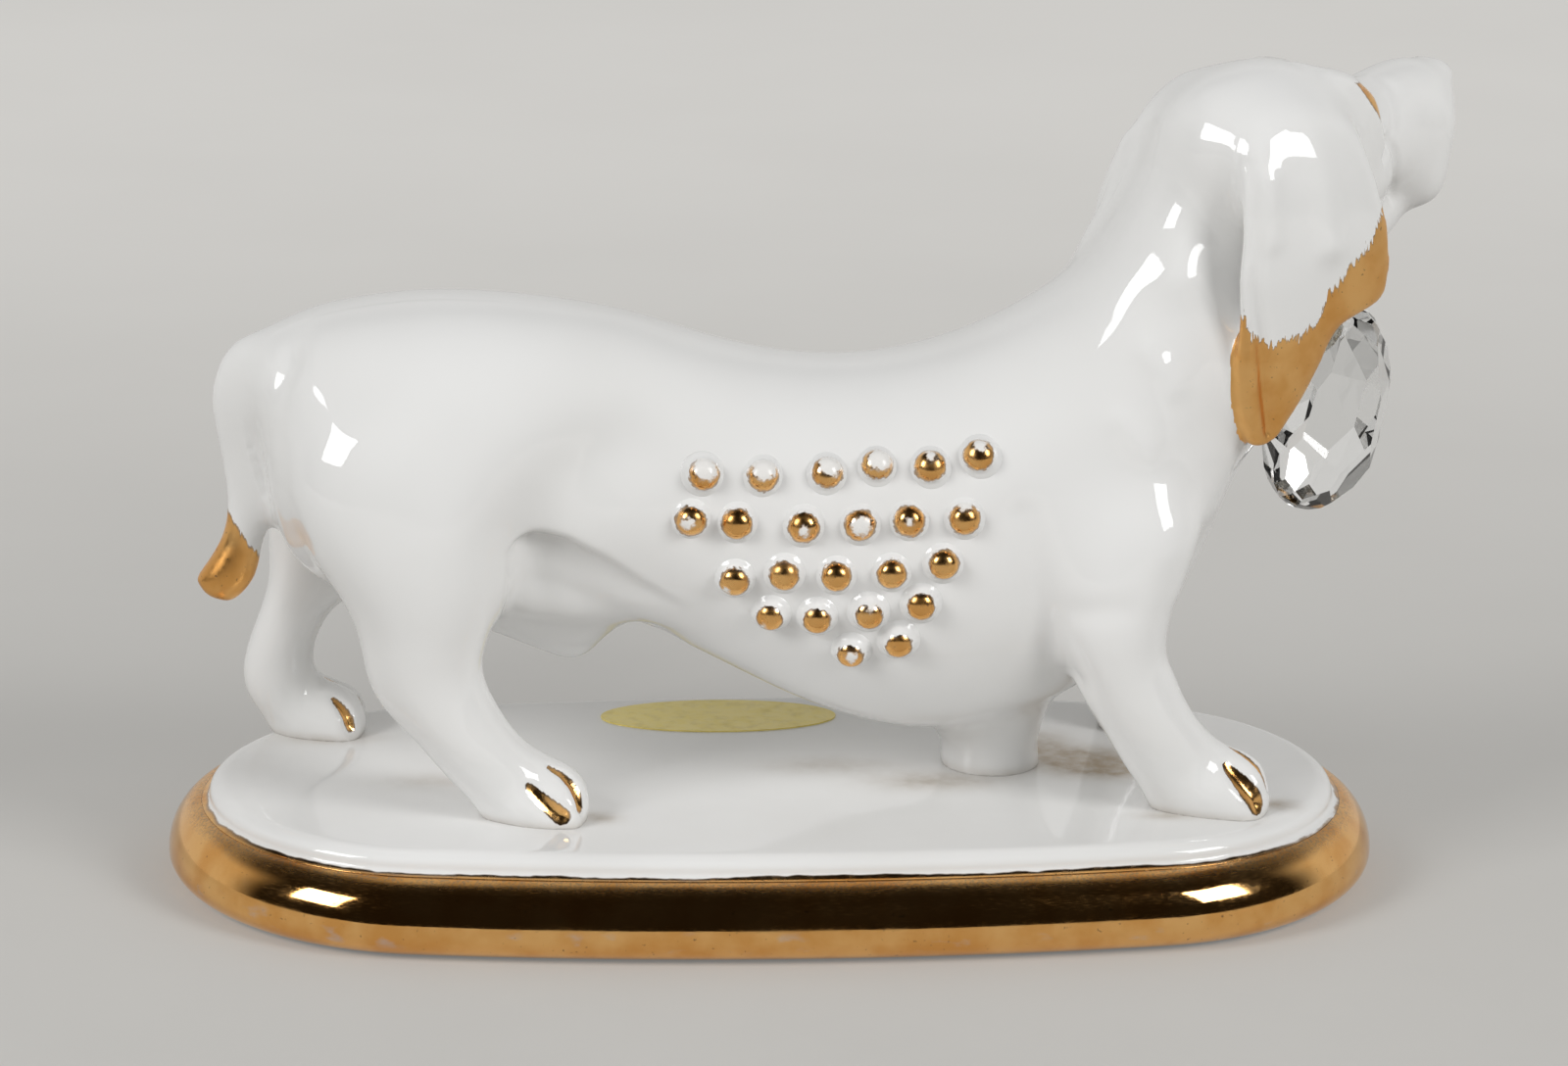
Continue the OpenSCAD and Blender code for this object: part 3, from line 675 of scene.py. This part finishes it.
def sculpt(co, normals, label, edges):
    """Folds, toes, mouth and eyes, with where the gilding lies (mm inside its edge) and its brush work."""
    gild = np.full(len(co), OUTSIDE)
    brush = np.full(len(co), FINE_BRUSH)
    push = sculpt_body(co, normals, label, edges)
    for name, grooves in TOE_GROOVES.items():
        paw = np.flatnonzero((label == NUMBER[name]) & (co[:, 2] < DECK_Z + PAW_HIGH))
        for path, half in grooves:
            d, t = away(co[paw] / MM, path)
            width = GROOVE_ROOT + (half - GROOVE_ROOT) * t ** GROOVE_OPEN
            push[paw] -= GROOVE_DEEP * np.sqrt(half) * t ** GROOVE_OPEN * np.exp(-(d / width) ** 2)
            gild[paw] = np.maximum(gild[paw], np.where(t > 0, width * GROOVE_GILT - d, OUTSIDE))
    for name, axes, side, lower in EARS:
        ear = np.flatnonzero(label == NUMBER[name])
        local = to_frame(co[ear], axes, HEAD_AT)
        gild[ear] = ear_gild(local) - lower
        outer = np.clip((normals[ear] @ axes)[:, 1] * side * 2, 0, 1)
        push[ear] -= outer * strokes_at(local[:, [0, 2]], EAR_STROKES)
    head = np.flatnonzero(label == NUMBER["head"])
    local = to_frame(co[head], HEAD_AXES, HEAD_AT)
    side = np.abs(local[:, 1])
    eye = inside_triangle(local[:, [0, 2]], EYE)
    gild[head] = np.where(side > EYE_FROM, eye, OUTSIDE)
    push[head] += np.where(side > EYE_FROM, EYE_BULGE * smooth(eye, *EYE_RISE), 0)
    for path, (deep, half) in ((MOUTH, MOUTH_CUT), (LIP, LIP_CUT)):
        d, _ = away(local[:, [0, 2]], path)
        push[head] -= np.where(side > MOUTH_FROM, deep * np.exp(-(d / half) ** 2), 0)
    tail = np.flatnonzero(label == NUMBER["tail"])
    gild[tail] = (co[tail][:, [0, 2]] / MM - TAIL_LINE) @ np.array(TAIL_DOWN)
    for name, wander in BRUSH.items():
        brush[label == NUMBER[name]] = wander
    co = co + normals * (push * MM)[:, None]
    drop = lower_lobe(co, normals, label)
    co[:, 2] += drop
    lobe = relax(np.clip(-drop / MM, 0, 1)[:, None], edges, np.full(len(co), 0.6), MASK_ROUNDS)[:, 0]
    return relax(co, edges, 0.6 * np.clip(2 * lobe, 0, 1), LOBE_ROUNDS), gild, brush


# Grime at the foot of the legs: strength and height
FOOT_SOIL, FOOT_SOIL_HIGH = 0.35, 0.9


def soil_of(co):
    """Grime low on the legs and the post."""
    high = (co[:, 2] - DECK_Z) / MM
    return np.clip(FOOT_SOIL * np.exp(-(high / FOOT_SOIL_HIGH) ** 2), 0, 1)


def cut_at_deck(mesh):
    """Cut the skin flat at the deck and close the soles."""
    body = bmesh.new()
    body.from_mesh(mesh)
    everything = body.verts[:] + body.edges[:] + body.faces[:]
    cut = bmesh.ops.bisect_plane(body, geom=everything, plane_co=(0, 0, DECK_Z), plane_no=(0, 0, 1),
                                 clear_inner=True, dist=1e-7)
    rim = [e for e in cut["geom_cut"] if isinstance(e, bmesh.types.BMEdge)]
    bmesh.ops.holes_fill(body, edges=rim, sides=0)
    body.to_mesh(mesh)
    body.free()
    mesh.update()


class Skin:
    """A mesh's faces in flat rows: corner points, each corner's face, and pairs of faces at each edge."""

    def __init__(self, mesh):
        edge = read(mesh.loops, "edge_index", 1, np.int32)
        self.corner = read(mesh.loops, "vertex_index", 1, np.int32)
        self.count = read(mesh.polygons, "loop_total", 1, np.int32)
        self.first = np.concatenate([[0], np.cumsum(self.count)[:-1]])
        self.face = np.repeat(np.arange(len(self.count)), self.count)
        order = np.argsort(edge, kind="stable")
        twin = np.flatnonzero(edge[order][1:] == edge[order][:-1])
        self.pairs = np.stack([self.face[order[twin]], self.face[order[twin + 1]]])
        self.ends = edges_of(mesh)[edge[order[twin]]]


def voted(skin, owner, kinds):
    """Each face takes the casting that most of its neighbours have."""
    f, g = skin.pairs
    n = len(owner)
    votes = sum(np.bincount(mine * kinds + owner[other], minlength=n * kinds)
                for mine, other in ((f, g), (g, f)))
    votes[np.arange(n) * kinds + owner] += 1
    votes = votes.reshape(n, kinds)
    return np.where(votes.max(1) > 2, votes.argmax(1), owner)


def islands(skin, owner):
    """A number for each patch of joined faces that have one casting."""
    return patches(len(owner), *skin.pairs[:, owner[skin.pairs[0]] == owner[skin.pairs[1]]])


# Rounds that even out the borders, and that untie points where a border touches itself
VOTES, KNOT_ROUNDS = 8, 12


def face_owners(skin, label):
    """One casting for each face, in one patch each and with even borders."""
    kinds = len(CASTINGS)
    n = len(skin.count)
    votes = np.bincount(skin.face * kinds + label[skin.corner], minlength=n * kinds)
    owner = votes.reshape(n, kinds).argmax(1)
    for _ in range(VOTES):
        owner = voted(skin, owner, kinds)
    patch = islands(skin, owner)
    size = np.bincount(patch, minlength=n)
    stray = np.ones(n, bool)
    for index in range(kinds):
        mine = np.flatnonzero(owner == index)
        stray[mine[patch[mine] == patch[mine][size[patch[mine]].argmax()]]] = False
    f, g = np.concatenate([skin.pairs, skin.pairs[::-1]], axis=1)
    reach = stray[f] & ~stray[g]
    while reach.any():
        owner[f[reach]] = owner[g[reach]]
        stray[f[reach]] = False
        reach = stray[f] & ~stray[g]
    for _ in range(KNOT_ROUNDS):
        f, g = skin.pairs
        border = np.flatnonzero(owner[f] != owner[g])
        ends = skin.ends[border]
        points = int(skin.corner.max()) + 1
        count = sum(np.bincount(owner[side[border]] * points + ends[:, k], minlength=kinds * points)
                    for side in (f, g) for k in (0, 1))
        knots = np.flatnonzero((count.reshape(kinds, points) > 2).any(0))
        if not len(knots):
            break
        touching = np.flatnonzero(np.isin(skin.corner, knots))
        for v in knots:
            around = skin.face[touching[skin.corner[touching] == v]]
            owner[around] = owner[around].min()
    return owner


# Depth at which the open end of a casting is closed
CAP_DEEP = 0.6 * MM
FIELDS = ("gild", "brush", "worn", "soil")


def border_loops(faces):
    """Closed rows of points along the open border of some faces, in the faces' own direction."""
    directed = {(face[i - 1], face[i]) for face in faces for i in range(len(face))}
    after = {a: b for a, b in directed if (b, a) not in directed}
    loops = []
    while after:
        start = min(after)
        loop, at = [start], after.pop(start)
        while at != start:
            loop.append(at)
            at = after.pop(at)
        loops.append(loop)
    return loops


def split_castings(mesh, skin, owner):
    """A closed piece for each casting, keeping the whole skin's normals so that joints don't show."""
    co, normals = points_of(mesh), normals_of(mesh)
    fields = {name: field_of(mesh, name) for name in FIELDS}
    pieces = {}
    for index, name in enumerate(CASTINGS):
        mine = np.flatnonzero(owner == index)
        used = np.unique(skin.corner[np.isin(skin.face, mine)])
        local = np.full(len(co), -1)
        local[used] = np.arange(len(used))
        row = local[skin.corner].tolist()
        faces = [tuple(row[a:a + n]) for a, n in zip(skin.first[mine], skin.count[mine])]
        points, source = [co[used]], [used]
        total = len(used)
        for loop in border_loops(faces):
            ring = used[loop]
            inner = co[ring] - normals[ring] * CAP_DEEP
            points += [inner, inner.mean(0)[None]]
            source += [ring, ring[:1]]
            n = len(loop)
            for i in range(n):
                j = (i + 1) % n
                faces.append((loop[j], loop[i], total + i, total + j))
                faces.append((total + j, total + i, total + n))
            total += n + 1
        source = np.concatenate(source)
        part = new_mesh(name + "_glaze", np.concatenate(points), faces)
        kept = normals[source].copy()
        kept[len(used):] = 0
        part.normals_split_custom_set_from_vertices(kept.tolist())
        for key, values in fields.items():
            store(part, key, values[source])
        pieces[name] = link(name + "_glaze", part)
    return pieces


def make_dog(material):
    mesh = fused_skin()
    tree, owner = casting_tree()
    co = points_of(mesh)
    edges = edges_of(mesh)
    label = owners(co, tree, owner)
    co = soften(co, edges, label)
    mesh.vertices.foreach_set("co", co.ravel())
    mesh.update()
    co, gild, brush = sculpt(co, normals_of(mesh), label, edges)
    co = relax(co, edges, np.full(len(co), 0.3), 3)
    mesh.vertices.foreach_set("co", co.ravel())
    worn = np.full(len(co), OUTSIDE)
    for name, values in zip(FIELDS, (gild, brush, worn, soil_of(co))):
        store(mesh, name, values)
    store(mesh, "casting", label)
    mesh.update()
    cut_at_deck(mesh)
    label = np.clip(np.round(field_of(mesh, "casting")), 0, len(CASTINGS) - 1).astype(int)
    skin = Skin(mesh)
    for name, piece in split_castings(mesh, skin, face_owners(skin, label)).items():
        finish_piece(piece, material, "white_porcelain", name)
    bpy.data.meshes.remove(mesh)


# Flank dots

# Half outline of a dot, radius and height in millimetres
DOT_PROFILE = ((3.15, -0.5), (2.95, -0.22), (2.7, 0.0), (2.48, 0.17), (2.3, 0.36), (2.17, 0.62), (2.06, 0.92),
               (1.88, 1.25), (1.62, 1.58), (1.28, 1.85), (0.88, 2.03), (0.45, 2.12), (0.15, 2.14))
DOT_SIDES = 40
# Brush work, spread of the sizes and of the gilding off centre, and a dot without wear
DOT_BRUSH = 0.16
DOT_VARY, DOT_OFF = 0.03, 0.06
NOT_WORN = (0, 0, OUTSIDE)
# Rows of dots from the top: lowest height of the row and radius of its gold, in mm
DOT_ROWS = ((58, 2.14), (52, 2.14), (45.2, 2.05), (40, 1.88), (0, 1.84))
# Where gold is worn through: row and number from the left, then right, up and radius of each patch, in mm
DOT_WORN = {
    (0, 0): (0.15, 0.75, 1.55), (0, 1): (0.05, 0.85, 1.65), (0, 2): (0.45, 0.8, 1.5), (0, 3): (0.4, 0.6, 1.6),
    (0, 4): (0, 1.2, 0.75), (0, 5): (0.1, 1.15, 0.85), (1, 0): (-0.5, 0, 0.8), (1, 2): (0, -0.6, 0.75),
    (1, 3): (0.1, -0.1, 1.25), (1, 4): (0, 0, 0.45), (1, 5): (0, 1.9, 0.8), (2, 0): (-0.95, -1.05, 0.4),
    (3, 0): (-0.8, -0.9, 0.42), (3, 2): (0.2, 1.75, 0.7), (4, 0): (0.2, 0.3, 0.7)}


def lathe(profile, sides):
    """Points and faces of a profile turned about Z, closed at both ends."""
    turn = np.arange(sides) * 2 * np.pi / sides
    rings = [np.stack([r * np.cos(turn), r * np.sin(turn), np.full(sides, z)], axis=1) for r, z in profile]
    faces = []
    for i in range(len(profile) - 1):
        for j in range(sides):
            k = (j + 1) % sides
            faces.append((i * sides + j, i * sides + k, (i + 1) * sides + k, (i + 1) * sides + j))
    faces.append(tuple(range(sides))[::-1])
    faces.append(tuple((len(profile) - 1) * sides + j for j in range(sides)))
    return np.concatenate(rings), faces


def dot_places():
    """Foot and outward direction of each dot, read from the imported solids."""
    part = welded("flank_dots")
    co = np.array([v.co for v in part.verts])
    group = patches(len(co), *np.array([[v.index for v in e.verts] for e in part.edges]).T)
    part.free()
    places = []
    for number in np.unique(group):
        island = co[group == number]
        centre = (island.max(0) + island.min(0)) / 2
        spread = island - island.mean(0)
        values, vectors = np.linalg.eigh(spread.T @ spread)
        odd = np.argmax([abs(values[i] - np.delete(values, i).mean()) / values.mean() for i in range(3)])
        axis = vectors[:, odd] * -np.sign(vectors[1, odd])
        foot = island.mean(0) + axis * (spread @ axis).min()
        places.append((foot, axis, centre))
    rows = {}
    for foot, axis, centre in sorted(places, key=lambda p: p[2][0]):
        row = next(i for i, (low, _) in enumerate(DOT_ROWS) if centre[2] / MM >= low)
        rows.setdefault(row, []).append((foot, axis))
    return rows


def make_dots(material):
    """Domes of slip on the flank, gilded on top, with some gold worn through."""
    base, faces = lathe(DOT_PROFILE, DOT_SIDES)
    points, all_faces, gild, worn = [], [], [], []
    for row, places in sorted(dot_places().items()):
        for number, (foot, axis) in enumerate(places):
            turn = np.array(Vector(axis).to_track_quat("Z", "Y").to_matrix())
            local = base * (1 + DOT_VARY * rng.standard_normal())
            gilt = DOT_ROWS[row][1] - np.linalg.norm(local[:, :2] - rng.normal(0, DOT_OFF, 2), axis=1)
            right, up, radius = DOT_WORN.get((row, number), NOT_WORN)
            worn.append(radius - np.linalg.norm(local[:, :2] - (right, up), axis=1))
            first = len(points) * len(base)
            points.append(local * MM @ turn.T + foot)
            all_faces += [tuple(first + i for i in f) for f in faces]
            gild.append(gilt)
    mesh = new_mesh("flank_dots_glaze", np.concatenate(points), all_faces)
    store(mesh, "gild", np.concatenate(gild))
    store(mesh, "worn", np.concatenate(worn))
    store(mesh, "brush", np.full(len(mesh.vertices), DOT_BRUSH))
    finish_piece(link("flank_dots_glaze", mesh), material, "gold_lustre", "flank_dots")


# Plinth

# Plan of the plinth: round ends and slightly bowed sides, in millimetres
END_R = 37.0
END_X = RIM_HIGH.x / MM - END_R
SIDE_Y = (END_X ** 2 - (RIM_R / MM - END_R) ** 2) / (2 * (RIM_R / MM - END_R))
SIDE_R = SIDE_Y + RIM_R / MM
SIDE_TURN = math.degrees(math.atan2(END_X, SIDE_Y))
END_POINTS, SIDE_POINTS = 72, 60
INNER_R = 12.0


def outline(r):
    """Points in plan round the plinth, r from its long axis; near the axis they close up on it."""
    off = max(r, INNER_R) - RIM_R / MM
    rows = []
    for x, y, radius, start, end, count in (
            (END_X, 0, END_R, SIDE_TURN - 90, 90 - SIDE_TURN, END_POINTS),
            (0, -SIDE_Y, SIDE_R, 90 - SIDE_TURN, 90 + SIDE_TURN, SIDE_POINTS),
            (-END_X, 0, END_R, 90 + SIDE_TURN, 270 - SIDE_TURN, END_POINTS),
            (0, SIDE_Y, SIDE_R, 270 - SIDE_TURN, 270 + SIDE_TURN, SIDE_POINTS)):
        turn = np.radians(np.linspace(start, end, count, endpoint=False))
        rows.append(np.stack([x + (radius + off) * np.cos(turn), y + (radius + off) * np.sin(turn)], axis=1))
    plan = np.concatenate(rows)
    if r < INNER_R:
        axis = np.stack([np.clip(plan[:, 0], -END_X, END_X), np.zeros(len(plan))], axis=1)
        plan = axis + (plan - axis) * r / INNER_R
    return plan


def sweep(name, profile):
    """A profile of (radius, height) in millimetres, from axis to axis, swept round the plinth."""
    rings = [np.column_stack([outline(r), np.full(2 * (END_POINTS + SIDE_POINTS), z)]) for r, z in profile]
    n = len(rings[0])
    faces = [(i * n + j, i * n + (j + 1) % n, (i + 1) * n + (j + 1) % n, (i + 1) * n + j)
             for i in range(len(profile) - 1) for j in range(n)]
    mesh = new_mesh(name, np.concatenate(rings) * MM, faces)
    body = bmesh.new()
    body.from_mesh(mesh)
    bmesh.ops.remove_doubles(body, verts=body.verts, dist=1e-7)
    bmesh.ops.recalc_face_normals(body, faces=body.faces)
    body.to_mesh(mesh)
    body.free()
    return mesh


# Grime on the deck: plan place and reach along X and Y in millimetres, and strength; it lies on the top only
GRIME = (
    (42, 5, 7, 4.5, 1.4), (47, 0, 7, 3.5, 1.1), (38, 12, 4, 5, 0.8), (22, -4, 8, 3.5, 0.7),
    (8, 3, 9, 3.5, 0.4), (67.5, -15, 2.6, 2.2, 0.8), (-25, -17.5, 2.6, 2.2, 0.7), (52, -19, 4, 1.6, 0.5),
    (-46, -2, 7, 3, 0.35), (-60, 16.5, 6, 2.4, 0.5))
GRIME_DEPTH = 0.5
# Level below which the deck's foot is gilded, and the brush work there, in millimetres
GILD_LEVEL = 11.0
DECK_BRUSH = 0.08
# The deck's rounded lip and the cove at its foot, in millimetres and radians, and rows of points on its top
LIP_WIDE, LIP_HIGH, LIP_STEPS = 2.6, 1.7, 12
COVE_WIDE, COVE_HIGH, COVE_RISE, COVE_TURN, COVE_STEPS = 1.35, 1.0, 0.92, 1.45, 8
DECK_ROWS = 34
UNDERCUT, UNDER_IN = 0.08, 4


def make_deck(material):
    r, top, low = DECK_R / MM, DECK_Z / MM, RIM_TOP / MM
    lip = [(r - LIP_WIDE + LIP_WIDE * math.sin(a), top - LIP_HIGH + LIP_HIGH * math.cos(a))
           for a in np.linspace(0, math.pi / 2, LIP_STEPS)]
    cove = [(r + COVE_WIDE * (1 - math.cos(a)), low + COVE_RISE - COVE_HIGH * math.sin(a))
            for a in np.linspace(0, COVE_TURN, COVE_STEPS)]
    rows = [(r - LIP_WIDE) * i / DECK_ROWS for i in range(DECK_ROWS)]
    under = [(r, low - UNDERCUT), (r - UNDER_IN, low), (0, low)]
    mesh = sweep("deck_glaze", [(row, top) for row in rows] + lip + cove + under)
    co = points_of(mesh) / MM
    wave = 0.2 * np.sin(co[:, 0] / 9.0 + 0.8) * np.cos(co[:, 0] / 23.0)
    level = GILD_LEVEL + wave + 0.15 * np.sin(co[:, 1] / 7.0)
    store(mesh, "gild", level - co[:, 2])
    store(mesh, "brush", np.full(len(co), DECK_BRUSH))
    store(mesh, "worn", np.full(len(co), OUTSIDE))
    soil = np.zeros(len(co))
    for x, y, reach_x, reach_y, strength in GRIME:
        soil += strength * np.exp(-((co[:, 0] - x) / reach_x) ** 2 - ((co[:, 1] - y) / reach_y) ** 2)
    store(mesh, "soil", np.clip(soil, 0, 1) * (co[:, 2] > top - GRIME_DEPTH))
    finish_piece(link("deck_glaze", mesh), material, "white_porcelain", "plinth_deck")


# Egg-shaped nose of the rim: how deep it rounds, and the share of its height at which it is widest
NOSE_DEEP, NOSE_WIDEST, NOSE_STEPS = 5.4, 0.36, 45
# Shallow recess underneath and the ground foot round it, from the axis outwards
FOOT_PROFILE = ((0, 1.2), (31, 1.2), (31.7, 0.95), (32, 0.4), (32.3, 0.06), (32.6, 0))
RIM_LEDGE = 3


def make_rim(material):
    r, top = RIM_R / MM, RIM_TOP / MM
    widest = NOSE_WIDEST * top
    nose = []
    for a in np.radians(np.linspace(-90, 90, NOSE_STEPS)):
        high = top - widest if a > 0 else widest
        nose.append((r - NOSE_DEEP + NOSE_DEEP * math.cos(a), widest + high * math.sin(a)))
    mesh = sweep("rim_gilt", list(FOOT_PROFILE) + nose + [(r - NOSE_DEEP - RIM_LEDGE, top), (0, top)])
    finish_piece(link("rim_gilt", mesh), material, "gold_lustre", "plinth_rim")


# Crystal

# Where the drop hangs, its lean and spin in degrees, and its width, thickness and length in millimetres
CRYSTAL_TOP = Vector((79.4, 8.9, 76.0)) * MM
CRYSTAL_LEAN, CRYSTAL_SPIN = 14, 20
CRYSTAL_SIZE = (16, 13, 29)
# Rows of facets: tilt of the facets above or below level, how many, and their turn
FACET_ROWS = ((4, 6, 0.35), (22, 7, 0.1), (-20, 7, 0.8), (40, 6, 0.6), (-42, 7, 0.3), (56, 6, 0.5),
              (-60, 6, 0.5), (-82, 3, 0), (76, 4, 0))
# Reach of the blank above and below its middle, as shares of half its length, where that middle lies, and
# how closely the facets keep to the blank
BLANK_UP, BLANK_DOWN, BLANK_MIDDLE, BLANK_FIT = 1.18, 0.86, -1.1, 0.985


def make_crystal(material):
    """A drop cut by planes, each set at the reach of a pear-shaped blank."""
    wide, thick, long = (s / 2 for s in CRYSTAL_SIZE)
    body = bmesh.new()
    bmesh.ops.create_cube(body, size=2 * CRYSTAL_SIZE[2])
    for tilt, count, turn in FACET_ROWS:
        for i in range(count):
            around = 2 * math.pi * (i + turn) / count
            up = math.radians(tilt)
            normal = Vector((math.cos(up) * math.cos(around), math.cos(up) * math.sin(around), math.sin(up)))
            reach_up = long * (BLANK_UP if tilt > 0 else BLANK_DOWN)
            reach = math.hypot(wide * normal.x, thick * normal.y, reach_up * normal.z) * BLANK_FIT
            middle = Vector((0, 0, long * BLANK_MIDDLE))
            cut = bmesh.ops.bisect_plane(body, geom=body.verts[:] + body.edges[:] + body.faces[:],
                                         plane_co=middle + normal * reach, plane_no=normal, clear_outer=True)
            edges = [e for e in cut["geom_cut"] if isinstance(e, bmesh.types.BMEdge)]
            if edges:
                bmesh.ops.contextual_create(body, geom=edges)
    bmesh.ops.recalc_face_normals(body, faces=body.faces)
    mesh = to_new_mesh(body, "crystal_cut")
    turn = (Matrix.Rotation(math.radians(CRYSTAL_LEAN), 4, "Y")
            @ Matrix.Rotation(math.radians(CRYSTAL_SPIN), 4, "Z") @ Matrix.Scale(MM, 4))
    mesh.transform(Matrix.Translation(CRYSTAL_TOP) @ turn)
    finish_piece(link("crystal_cut", mesh), material, "cut_crystal", "crystal_drop")


# Stage

CAMERA_LENS, CAMERA_SENSOR = 149.95, 36
CAMERA_DOWN, CAMERA_YAW, CAMERA_ROLL = 20.0, 4.6, 1.0
CAMERA_AWAY = 0.9
CAMERA_AIM = Vector((0.0022, 0.0156, 0.0432))
LAMP_AWAY = 2.2
# Softboxes: bearing from straight in front and height in degrees, width and length in metres, power in watts
LAMPS = (("left_box", -58.6, 32.5, 0.77, 0.92, 19.5), ("right_box", 49.4, 32.5, 0.77, 0.92, 19.5))
# Pale sweep behind, dark room before it, and the light that fills the shadows
SWEEP = (0.62, 0.61, 0.59, 1)
ROOM = (0.014, 0.012, 0.010, 1)
FILL_LOW = (0.62, 0.62, 0.61, 1)
FILL_HIGH = (0.16, 0.16, 0.16, 1)
TABLE_R = 4.0


def make_camera():
    camera = bpy.data.objects.new("camera", bpy.data.cameras.new("camera"))
    camera.data.lens = CAMERA_LENS
    camera.data.sensor_width = CAMERA_SENSOR
    camera.data.sensor_fit = "HORIZONTAL"
    camera.data.clip_start = 0.05
    down, yaw = math.radians(CAMERA_DOWN), math.radians(CAMERA_YAW)
    ahead = Vector((math.sin(yaw) * math.cos(down), math.cos(yaw) * math.cos(down), -math.sin(down)))
    camera.location = -ahead * CAMERA_AWAY
    look = (CAMERA_AIM - camera.location).to_track_quat("-Z", "Y")
    camera.rotation_mode = "QUATERNION"
    camera.rotation_quaternion = look @ Quaternion((0, 0, 1), math.radians(CAMERA_ROLL))
    scene.collection.objects.link(camera)
    scene.camera = camera


def make_lights():
    for name, bearing, height, width, length, power in LAMPS:
        lamp = bpy.data.lights.new(name, "AREA")
        lamp.shape = "RECTANGLE"
        lamp.size, lamp.size_y = width, length
        lamp.energy = power
        holder = bpy.data.objects.new(name, lamp)
        turn, up = math.radians(bearing), math.radians(height)
        holder.location = Vector((math.sin(turn) * math.cos(up), -math.cos(turn) * math.cos(up),
                                  math.sin(up))) * LAMP_AWAY
        holder.rotation_euler = (-holder.location).to_track_quat("-Z", "Y").to_euler()
        scene.collection.objects.link(holder)


def make_world():
    """A dark studio in front, a pale sweep that rises behind, and a fill for the matt light only."""
    world = bpy.data.worlds.new("studio")
    scene.world = world
    world.use_nodes = True
    tree = world.node_tree
    tree.nodes.clear()
    toward = add(tree, "SeparateXYZ", Vector=add(tree, "TexCoord").outputs["Generated"]).outputs
    behind = calc(tree, "MULTIPLY", ramp(tree, toward["Y"], -0.15, 0.25), ramp(tree, toward["Z"], 0.75, 0.45))
    colour = blend_colour(tree, behind, ROOM, SWEEP)
    matt = add(tree, "LightPath").outputs["Is Diffuse Ray"]
    fill = blend_colour(tree, ramp(tree, toward["Z"], 0.45, 0.85), FILL_LOW, FILL_HIGH)
    colour = blend_colour(tree, matt, colour, fill)
    light = add(tree, "Background", Color=colour)
    out = add(tree, "OutputWorld")
    tree.links.new(light.outputs[0], out.inputs[0])


def make_floor(material):
    body = bmesh.new()
    bmesh.ops.create_circle(body, cap_ends=True, segments=96, radius=TABLE_R)
    floor = link("table", to_new_mesh(body, "table"))
    floor.data.materials.append(material)


# The object and its stage
glaze = porcelain("glazed_porcelain")
make_dog(glaze)
make_dots(porcelain("dot_glaze", streak=(1, 1, 1), streak_scale=1300))
make_deck(porcelain("deck_glaze", streak=(1, 1, 1), streak_scale=300))
make_rim(rim_gold())
make_crystal(crystal_glass())
for name, material in (("crystal_cement", cement()), ("label", foil())):
    nodes[name].data.materials.clear()
    nodes[name].data.materials.append(material)

make_camera()
make_lights()
make_world()
make_floor(table_top())
scene.view_settings.view_transform = "Standard"
